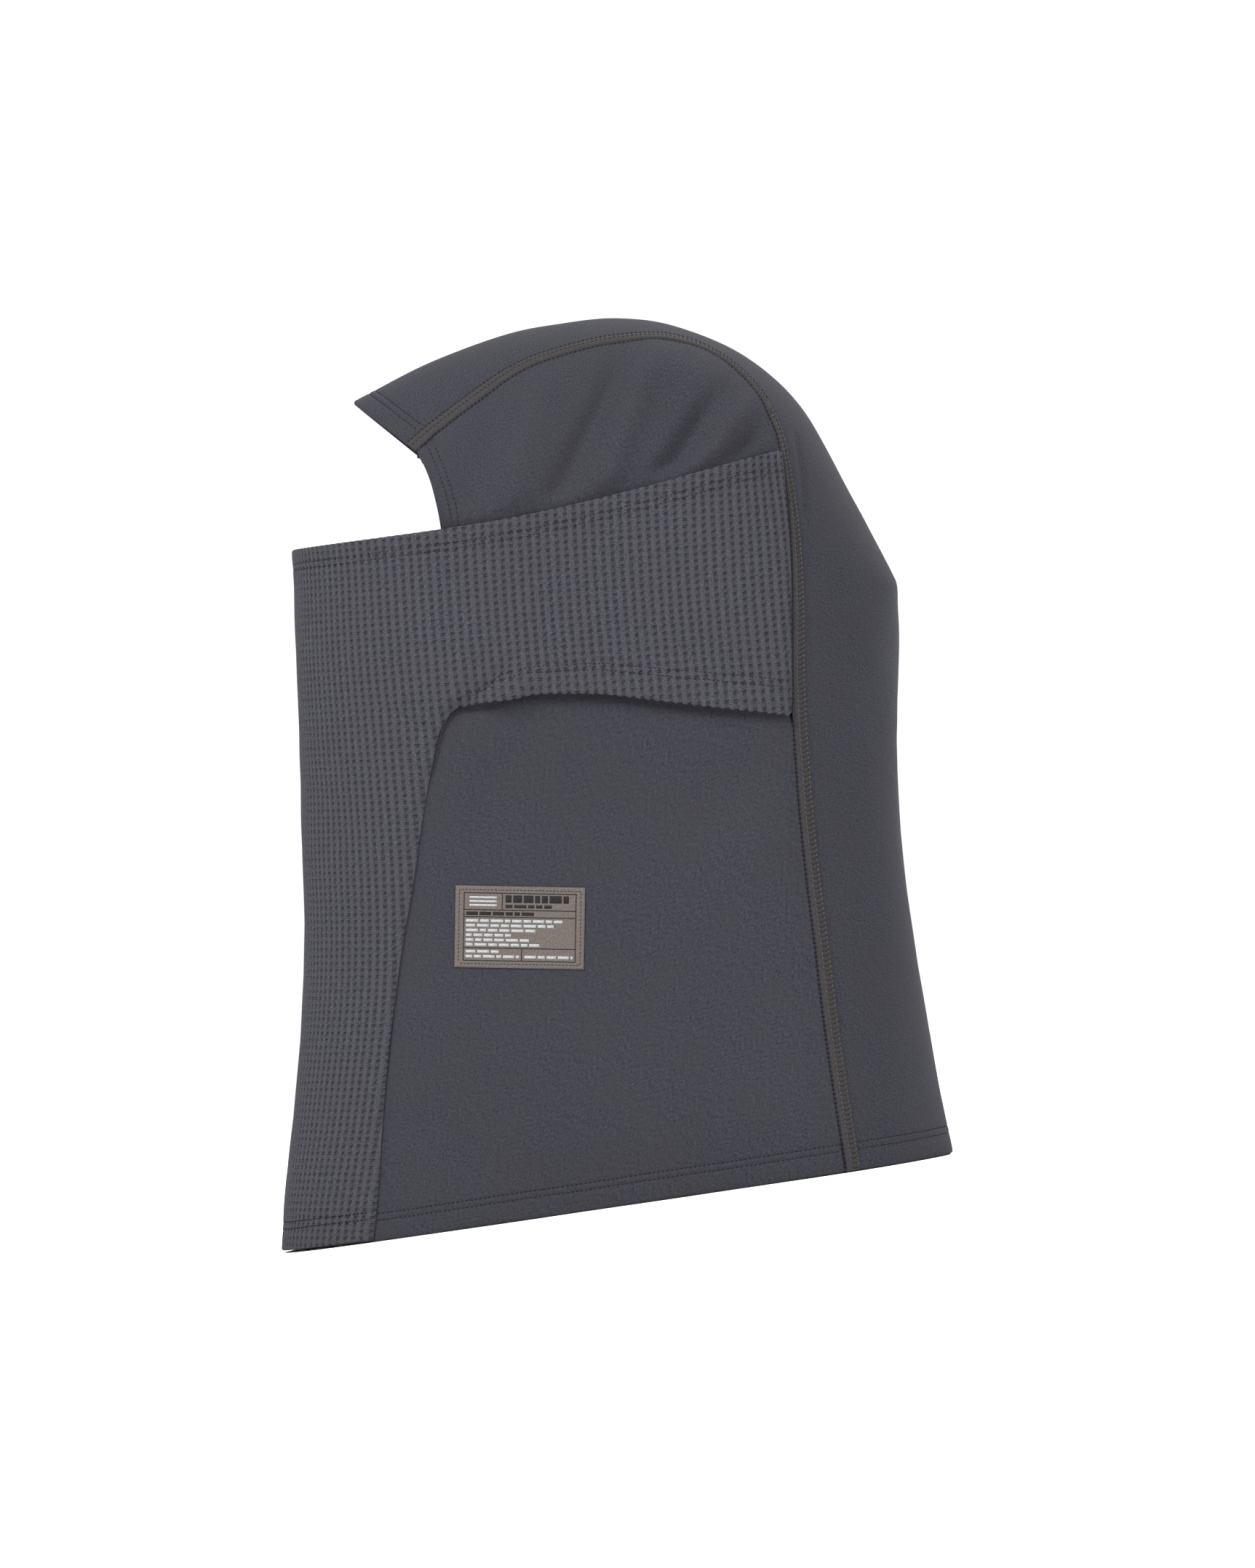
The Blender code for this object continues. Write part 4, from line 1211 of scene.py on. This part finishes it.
def seam_cover(crown, side):
    """Flatlock cover: a thin band whose section is a flattened arch, and the threads on it. Twin dotted
    rows run along it from the brim over the crown, with two rows of light flecks beside them that are
    painted highlights on the thread. Down the back dark rungs lie across it, with two columns of light
    knots that are painted highlights. Short stitches cross the seam line, in thread painted dark as shade."""
    line = cover_bands(crown)
    shares = np.linspace(0, 1, 9)
    section = SEAM_THICK * (1 - (2 * shares - 1) ** 6)
    top = [line(SEAM_SETBACK + SEAM_WIDTH * s, h + 0.00006) for s, h in zip(shares, section)]
    band = np.stack([points for points, _ in top], axis=1)
    under = np.stack([line(SEAM_SETBACK + SEAM_WIDTH * s, -0.0001)[0] for s in shares], axis=1)
    base = closed_band(band, under)

    def rail(share):
        return line(SEAM_SETBACK + share * SEAM_WIDTH, SEAM_THICK)[0]

    near, far = map(rail, RUNG_SHARES)
    normal = line(SEAM_SETBACK + RUNG_SHARES[1] * SEAM_WIDTH)[1]
    down = lengths(rail(DOT_SHARES[0]))
    turn_at = LADDER_FROM * down[-1]
    front = down < turn_at
    rear = ~front
    threads = [
        row_of_stitches(rail(share)[front], normal[front], STITCH_PITCH, long, radius, 0.00002, 0.0001)
        for share, long, radius in zip(DOT_SHARES, (0.0011, 0.0012), (0.00022, 0.00024))
    ]
    places = np.arange(turn_at, down[-1], RUNG_PITCH)
    low, high, there = (sampled(table, down, places) for table in (near, far, normal))
    uneven = np.random.default_rng(3).uniform(0.0, 0.22, (len(places), 1))
    rungs = stitches(low + uneven * (high - low), high, unit(there), 0.00021, 0.00008)
    # painted highlights: light knots that stand in for glints on the rungs' thread
    painted_highlights = [
        row_of_stitches(rail(share)[rear], normal[rear], RUNG_PITCH, 0.0010, 0.00024, 0.00004, 0.00014)
        for share in REAR_HIGHLIGHT_SHARES
    ]
    # painted highlights: light flecks beside the dotted rows, standing in for glints on their thread
    light = [
        row_of_stitches(rail(share)[front], normal[front], STITCH_PITCH, 0.0006, 0.00018, 0.00002, 0.0001)
        for share in FRONT_HIGHLIGHT_SHARES
    ]
    return base, threads + [rungs], painted_highlights + light, seam_line_stitches(line, side)


def seam_line_stitches(line, side):
    """Short threads across the seam line, from the side panel's rim to the cover's, in thread painted dark
    as the shade in the seam's crease.
    """
    crown_edge, normal = line(0.0009, -0.0001)
    starts, _, there = stepped(crown_edge, normal, STITCH_PITCH, 0.0)
    rim, rim_normal = side[:, -1], normals_of(side)[:, -1]
    inset = rim + 0.0011 * unit(side[:, -6] - rim) - 0.0002 * rim_normal
    ends, _, _ = stepped(inset, rim_normal, STITCH_PITCH, 0.0)
    count = min(len(starts), len(ends))
    keep = slice(2, count)
    return stitches(starts[keep], ends[keep], there[keep], 0.00034, 0.00005)


def closed_band(top, under):
    """Closed strip between two grids of the same size that lie over each other."""
    rows, columns = top.shape[:2]
    loop = np.concatenate([top, under[:, ::-1]], axis=1)
    index = np.arange(rows * 2 * columns).reshape(rows, -1)
    walls = grid_faces(np.hstack([index, index[:, :1]]))
    ends = []
    for row, flip in ((index[0], False), (index[-1], True)):
        cap = grid_faces(np.stack([row[:columns], row[:columns - 1:-1]]))
        ends.append(cap[:, ::-1] if flip else cap)
    return loop.reshape(-1, 3), [np.vstack([walls] + ends)]


# ======== label ======================================================================================

LABEL_LENGTH = 0.0530
LABEL_HEIGHT = 0.0335
LABEL_SLOPE = math.radians(-9.5)
LABEL_THICK = 0.0006
LABEL_LIFT = 0.0001
FRAME_INSET = (0.0036, 0.0029)  # from the label's ends and from its long edges
FRAME_LINE = 0.00035
FRAME_CORNER = (LABEL_LENGTH / 2 - FRAME_INSET[0], LABEL_HEIGHT / 2 - FRAME_INSET[1])
HEAD_CELL = 0.0069  # down from the frame's top
TITLE_CELL = 0.0098
FOOT_CELL = 0.0052  # up from the frame's foot
EMBLEM_SHARE = 0.34  # shares of the frame's length at which its upright lines stand
FOOT_SHARE = 0.52


def label_surface(along, up, lift):
    """Points and normals on the side panel under places in the label's own plane."""
    back = LABEL_CENTRE[1] + along * math.cos(LABEL_SLOPE) - up * math.sin(LABEL_SLOPE)
    height = LABEL_CENTRE[2] + along * math.sin(LABEL_SLOPE) + up * math.cos(LABEL_SLOPE)
    line = np.column_stack([back.ravel(), height.ravel()])
    step = 0.5 * MM

    def point(shift):
        moved = line + shift
        return np.column_stack([bulge(HOOD_OUTLINE, moved), moved])

    here, ahead, above = point([0, 0]), point([step, 0]), point([0, step])
    normal = unit(np.cross(ahead - here, above - here))
    normal *= np.sign(normal[:, :1])
    points = here + (lift + folds(here))[:, None] * normal
    return points.reshape(back.shape + (3,)), normal.reshape(back.shape + (3,))


def label_patch(low, high, floor, top, columns, rows, bevel=0.0):
    """Closed slab on the label between two corners of its plane, from floor to top."""
    along = np.linspace(low[0], high[0], columns + 1)[None, :]
    up = np.linspace(low[1], high[1], rows + 1)[:, None]
    along, up = np.broadcast_arrays(along, up)
    from_ends = np.minimum(along - low[0], high[0] - along)
    edge = np.minimum(from_ends, np.minimum(up - low[1], high[1] - up))
    height = top - bevel * (edge <= 0)
    upper = label_surface(along, up, 0)
    lifted = upper[0] + height[..., None] * upper[1]
    lower = upper[0] + floor * upper[1]
    count = (rows + 1) * (columns + 1)
    index = np.arange(count).reshape(rows + 1, columns + 1)
    rim = np.concatenate([index[0], index[1:, -1], index[-1, -2::-1], index[-2:0:-1, 0]])
    wall = grid_faces(np.stack([np.append(rim, rim[0]), np.append(rim, rim[0]) + count]))
    faces = np.vstack([grid_faces(index), grid_faces(index)[:, ::-1] + count, wall[:, ::-1]])
    points = np.vstack([lifted.reshape(-1, 3), lower.reshape(-1, 3)])
    flat = np.column_stack([along.ravel(), up.ravel()])
    return points, [faces], np.vstack([flat, flat])


def label_cloth():
    """The label itself: a woven slab with softly pressed rims."""
    half = np.array([LABEL_LENGTH, LABEL_HEIGHT]) / 2
    points, faces, flat = label_patch(-half, half, LABEL_LIFT, LABEL_LIFT + LABEL_THICK, 106, 67, 0.00025)
    return make_piece("woven_label_cloth", points, faces, LABEL_CLOTH, flat)


def label_rules():
    """Frame lines that part the label into plain cells."""
    x, y = FRAME_CORNER
    across = [-y, -y + FOOT_CELL, y - TITLE_CELL, y - HEAD_CELL, y]
    half = FRAME_LINE / 2
    lines = [((-x - half, level - half), (x + half, level + half)) for level in across]
    emblem_end = -x + EMBLEM_SHARE * 2 * x
    foot_split = -x + FOOT_SHARE * 2 * x
    for place, low, high in ((-x, -y, y), (x, -y, y), (emblem_end, y - HEAD_CELL, y),
                             (foot_split, -y, -y + FOOT_CELL)):
        lines.append(((place - half, low), (place + half, high)))
    return patches("label_frame_lines", lines, LABEL_DARK)


def patches(name, boxes, material, thick=0.00006):
    """Thin slabs on the label's face, one for each pair of corners."""
    floor = LABEL_LIFT + LABEL_THICK - 0.00008
    made = []
    maps = []
    for low, high in boxes:
        columns = max(1, int((high[0] - low[0]) / 0.0012))
        rows = max(1, int((high[1] - low[1]) / 0.0012))
        points, faces, flat = label_patch(np.array(low), np.array(high), floor,
                                          floor + 0.00008 + thick, columns, rows)
        made.append((points, faces))
        maps.append(flat)
    points, faces = joined(made)
    return make_piece(name, points, faces, material, np.vstack(maps))


def bar_rows(left, right, top, count, pitch, high, fills, seed):
    """Rows of plain bars of uneven lengths with small gaps, as blocked-out lines."""
    random = np.random.default_rng(seed)
    boxes = []
    for k in range(count):
        end = left + (right - left) * fills[k]
        x = left
        while x < end - 0.0008:
            wide = min(random.uniform(0.0020, 0.0052), end - x)
            boxes.append(((x, top - k * pitch - high), (x + wide, top - k * pitch)))
            x += wide + 0.0007
    return boxes


def label_bars():
    """Light bars in the label's text cells and dark bars in its heading cells; they say nothing."""
    x, y = FRAME_CORNER
    cell = 2 * x
    left, right = -x + 0.0009, x - 0.0010
    fills = (0.90, 0.82, 0.66, 0.42, 0.60, 0.70)
    light = bar_rows(left, right, y - 0.0108, 6, 0.00196, 0.00115, fills, 4)
    light += bar_rows(left, -x + 0.50 * cell, -y + 0.0043, 2, 0.0020, 0.00115, (0.62, 1.0), 7)
    light += bar_rows(-x + 0.545 * cell, right, -y + 0.0023, 1, 0.0020, 0.00115, (1.0,), 9)
    for level in y - 0.0022 - 0.0016 * np.arange(3):
        light.append(((-x + 0.0022, level), (-x + EMBLEM_SHARE * cell - 0.0022, level + 0.0008)))
    dark = bar_rows(-x + 0.37 * cell, right, y - 0.0008, 1, 0.003, 0.0030, (0.98,), 11)
    dark += bar_rows(-x + 0.37 * cell, right, y - 0.0047, 1, 0.003, 0.0013, (0.70,), 12)
    dark += bar_rows(left, right, y - 0.0077, 1, 0.003, 0.0014, (0.66,), 13)
    return patches("label_light_bars", light, LABEL_LIGHT), patches("label_dark_bars", dark, LABEL_DARK)


def label_stitches():
    """Rows of small stitches round the label's border."""
    inset = 0.0016
    x, y = LABEL_LENGTH / 2 - inset, LABEL_HEIGHT / 2 - inset
    corners = np.array([(-x, -y), (x, -y), (x, y), (-x, y), (-x, -y)])
    ring = resample(corners, np.linspace(0, 1, 240))
    points, normal = label_surface(ring[:, 0], ring[:, 1], LABEL_LIFT + LABEL_THICK)
    return row_of_stitches(points, normal, 0.0015, 0.0010, 0.00016, 0.00002, 0.00010)


# ======== the object, piece by piece ===================================================================


def piece_of(name, mesh, material):
    points, faces = mesh
    return make_piece(name, points, faces, material)


def hood_piece(piece, slot, *nodes):
    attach(piece, "hood")
    if nodes:
        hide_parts(*nodes)
    return piece


def sewn(name, mesh, material, *nodes):
    """A piece of thread that stays on the hood."""
    return hood_piece(piece_of(name, mesh, material), "sewing_thread", *nodes)


def build_hood():
    """Crown and back, both sides, their seam covers, and the stitch rows on them."""
    crown = crown_cloth_grid()
    side = side_cloth_grid()
    cloth = hood_piece(jersey_piece("crown_back_cloth", crown, BRIM_ROWS, HEM_ROWS, ()),
                       "smooth_jersey", "crown_back_panel")
    for name, turn in GRID_SIDES:
        panel = turn(side)
        cloth = hood_piece(jersey_piece("side_cloth_" + name, panel, (), HEM_ROWS, FACE_ROWS),
                           "smooth_jersey", "side_panel_" + name)
    base, rungs, painted_highlights, line = seam_cover(crown, side)
    for name, turn in MESH_SIDES:
        sewn("seam_cover_" + name, turn(base), SEAM_BASE, "crown_seam_" + name)
        sewn("seam_painted_highlights_" + name, turn(joined(painted_highlights)), LIGHT_THREAD_AND_HIGHLIGHTS)
        sewn("seam_rungs_" + name, turn(joined(rungs)), RUNG_THREAD)
        sewn("seam_line_" + name, turn(line), THREAD_WITH_PAINTED_SHADE)
    brim = [row_of_stitches(*trimmed(along_edge(crown, d, "head"), 0.0075)) for d in BRIM_ROWS]
    sewn("brim_stitches", joined(brim), THREAD_WITH_PAINTED_SHADE, "brim_stitch_1", "brim_stitch_2")
    face = []
    face_highlights = []
    for distance in FACE_ROWS:
        path, normal = along_edge(side, distance, "start")
        last = placed(FACE_EDGE[-1])[1]
        keep = (path[:, 2] > last) & (np.arange(len(path)) > 8)
        face.append(row_of_stitches(path[keep], normal[keep]))
        # painted highlights: short light stitches between the face rows' stitches stand in for glints on
        # the thread
        face_highlights.append(row_of_stitches(path[keep][1:], normal[keep][1:], STITCH_PITCH, 0.00045,
                                      0.00017, 0.0001))
    for name, turn in MESH_SIDES:
        sewn("face_edge_stitches_" + name, turn(joined(face)), THREAD_WITH_PAINTED_SHADE,
             f"face_stitch_{name}_1", f"face_stitch_{name}_2")
        sewn("face_edge_painted_highlights_" + name, turn(joined(face_highlights)), LIGHT_THREAD_AND_HIGHLIGHTS)
    overlock = bib_overlock(side)
    for name, turn in MESH_SIDES:
        sewn("bib_overlock_" + name, turn(overlock), LIGHT_THREAD_AND_HIGHLIGHTS, "bib_seam_" + name)
    return crown, side


def trimmed(path_and_normal, ends):
    """A path and its normals without a length at both ends."""
    path, normal = path_and_normal
    along = lengths(path)
    keep = (along > ends) & (along < along[-1] - ends)
    return path[keep], normal[keep]


OVERLOCK_PITCH = 0.0022
OVERLOCK_RAILS = (0.0004, 0.0044)  # distances of its two running threads from the cloth's edge


def bib_overlock(side):
    """Looped overlock inside the side panel's front edge: slanting threads across the allowance
    and a running thread along each side of them."""
    normal = normals_of(side)
    inside_face = side - (JERSEY + 0.0002) * normal
    below = side[:, 0, 2] < placed(BIB_SEAM[-2])[1]
    across = arc_table(side, 1)[below]
    rows = np.linspace(0, 1, side.shape[0])[below]
    rails = []
    for distance in OVERLOCK_RAILS:
        share = shares_at(across, distance)
        rails.append((at(inside_face, rows, share), -at(normal, rows, share)))
    (near, facing_in), (far, _) = rails
    starts, _, there = stepped(near, facing_in, OVERLOCK_PITCH, 0.0)
    ends, _, _ = stepped(far, facing_in, OVERLOCK_PITCH, 0.0)
    count = min(len(starts), len(ends)) - 1
    return joined([stitches(starts[:count], ends[1:count + 1], there[:count], 0.00024, 0.0002)] + [
        row_of_stitches(rail, facing_in, OVERLOCK_PITCH, 0.0019, 0.00024, 0.0, 0.0001)
        for rail in (near, far)
    ])


BLEND_START = (0, placed((60, 120))[0], placed((60, 120))[1])
BLEND_END = (0, placed((4.6, 156.9))[0], placed((4.6, 156.9))[1])


def mask_piece(piece, slot, *nodes):
    """Bakes a piece on the waffle cloth into its place and hides the imported parts that it stands for."""
    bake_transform(piece)
    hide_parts(*nodes)
    return piece


def offset_path(edge, distance, low=0.0, high=0.0, by_arch=False):
    """A path on the lattice at a distance inside an edge, without a length at each end. The
    cloth lies on the left of the edges as waffle_edges orders them. By the arch the distance
    is taken times arch_share."""
    along = lengths(edge)
    even = resample(edge, np.linspace(low / along[-1], 1 - high / along[-1], 260))
    forward = unit(np.gradient(even, axis=0))
    share = arch_share(even[:, :1]) if by_arch else 1
    return even + share * distance * np.column_stack([-forward[:, 1], forward[:, 0]])


def on_waffle(lattice, edges, places, sink=0.00035):
    """Points and normals of a path on the waffle cloth's outer face, a little sunk in the knit."""
    height = waffle_lift(places, edges)[0] - sink
    normal = unit(lattice.look_up(lattice.normal, places[:, 0], places[:, 1]))
    base = lattice.look_up(lattice.base, places[:, 0], places[:, 1])
    return base + height[:, None] * normal, normal


def build_mask():
    """The waffle mask and bib, and the stitch rows under its top edge and over its arch."""
    lattice = Lattice()
    edges = waffle_edges(lattice)
    cloth = waffle_cloth(lattice, edges)
    mask_piece(cloth, "waffle_knit", "mask_front", "mask_side_left", "mask_side_right", "front_bib")
    insets = (
        [offset_path(edges["top"], distance, low=0.001) for distance in MASK_TOP_ROWS],
        [offset_path(edges["arch"], distance, high=0.001, by_arch=True) for distance in ARCH_ROWS],
    )
    top, arch = (
        [row_of_stitches(*on_waffle(lattice, edges, inset), radius=0.00019, sink=-0.00002)
         for inset in rows]
        for rows in insets
    )
    rows = [f"mask_top_stitch_{side}_{k}" for side in ("front", "left", "right") for k in (1, 2)]
    mask_piece(piece_of("mask_top_stitches", both_sides(joined(top)), RUNG_THREAD), "sewing_thread", *rows)
    for name, turn in MESH_SIDES:
        rows = [f"arch_stitch_{place}{name}_{k}" for place in ("front_", "") for k in (1, 2)]
        mask_piece(piece_of("arch_stitches_" + name, turn(joined(arch)), RUNG_THREAD),
                   "sewing_thread", *rows)
    return lattice, edges


def build_hem_stitches(crown, side, lattice, edges):
    """Twin rows round the hem, over the bib, both sides and the back."""
    parts = []
    for distance in HEM_ROWS:
        parts.append(row_of_stitches(*along_edge(crown, distance, "tail")))
        path, normal = along_edge(side, distance, "tail")
        keep = path[:, 1] > placed(BIB_SEAM[0])[0] + 0.002
        parts.append(both_sides(row_of_stitches(path[keep], normal[keep])))
        path, normal = on_waffle(lattice, edges, offset_path(edges["hem"], distance, high=0.0005))
        parts.append(both_sides(row_of_stitches(path, normal, radius=0.00024)))
    sewn("hem_stitches", joined(parts), THREAD_WITH_PAINTED_SHADE, "hem_stitch_1", "hem_stitch_2")


def build_label():
    """The woven label, its frame lines, its bars and the thread that holds it."""
    hood_piece(label_cloth(), "woven_label", "woven_label")
    hood_piece(label_rules(), "woven_label")
    for bars in label_bars():
        hood_piece(bars, "woven_label")
    sewn("label_border_stitches", label_stitches(), SEAM_BASE, "label_stitch")


# ======== stage, light and camera =========================================================================

VIEW_CENTRE = placed((170.6, 170.0))
VIEW_HEIGHT = 0.6468
VIEW_ROLL = math.radians(8.434)
VIEW_DISTANCE = 9.0
SENSOR = 36.0


def build_stage():
    """A wide pale floor, just under the hem."""
    mesh = bpy.data.meshes.new("floor")
    reach = 30.0
    level = -0.0004
    corners = [(x * reach, y * reach, level) for x, y in ((-1, -1), (1, -1), (1, 1), (-1, 1))]
    mesh.from_pydata(corners, [], [(0, 1, 2, 3)])
    floor = bpy.data.objects.new("floor", mesh)
    bpy.context.scene.collection.objects.link(floor)
    material, shader = new_material("pale_floor", 0.95)
    shader.inputs["Base Color"].default_value = (0.98, 0.98, 0.98, 1)
    mesh.materials.append(material)


def add_light(name, place, target, size, power):
    """Square soft light that looks at a target."""
    data = bpy.data.lights.new(name, "AREA")
    data.shape = "SQUARE"
    data.size = size
    data.energy = power
    light = bpy.data.objects.new(name, data)
    back = unit(np.array(place, float) - np.array(target, float))
    right = unit(np.cross([0, 0, 1], back))
    up = np.cross(back, right)
    light.matrix_world = Matrix([
        (right[0], up[0], back[0], place[0]),
        (right[1], up[1], back[1], place[1]),
        (right[2], up[2], back[2], place[2]),
        (0, 0, 0, 1),
    ])
    bpy.context.scene.collection.objects.link(light)


def build_lights():
    """An even white surround and three soft square lights: the strongest high in front on the
    label's side, a weak one behind on that side, and one behind on the other side."""
    world = bpy.data.worlds.new("even_surround")
    world.use_nodes = True
    surround = world.node_tree.nodes["Background"]
    surround.inputs["Color"].default_value = (1, 1, 1, 1)
    surround.inputs["Strength"].default_value = 1.04
    bpy.context.scene.world = world
    bpy.context.scene.view_settings.view_transform = "Standard"
    middle = (0, 0, 0.18)
    add_light("soft_key", (1.35, -1.15, 2.2), middle, 1.0, 105)
    add_light("soft_fill", (1.7, 1.9, 1.1), middle, 1.2, 32)
    add_light("soft_rim", (-1.6, 1.2, 1.7), middle, 1.4, 70)


def build_camera():
    """Long lens level with the side of the hood, rolled so that the hem climbs to the rear."""
    data = bpy.data.cameras.new("camera")
    data.sensor_fit = "VERTICAL"
    data.sensor_height = SENSOR
    data.lens = SENSOR * VIEW_DISTANCE / VIEW_HEIGHT
    data.clip_end = 100
    camera = bpy.data.objects.new("camera", data)
    c, s = math.cos(VIEW_ROLL), math.sin(VIEW_ROLL)
    camera.matrix_world = Matrix([
        (0, 0, 1, VIEW_DISTANCE),
        (c, s, 0, VIEW_CENTRE[0]),
        (-s, c, 0, VIEW_CENTRE[1]),
        (0, 0, 0, 1),
    ])
    bpy.context.scene.collection.objects.link(camera)
    bpy.context.scene.camera = camera


build_camera()
build_lights()
build_stage()
CROWN_GRID, SIDE_GRID = build_hood()
LATTICE, WAFFLE_EDGES = build_mask()
build_hem_stitches(CROWN_GRID, SIDE_GRID, LATTICE, WAFFLE_EDGES)
build_label()
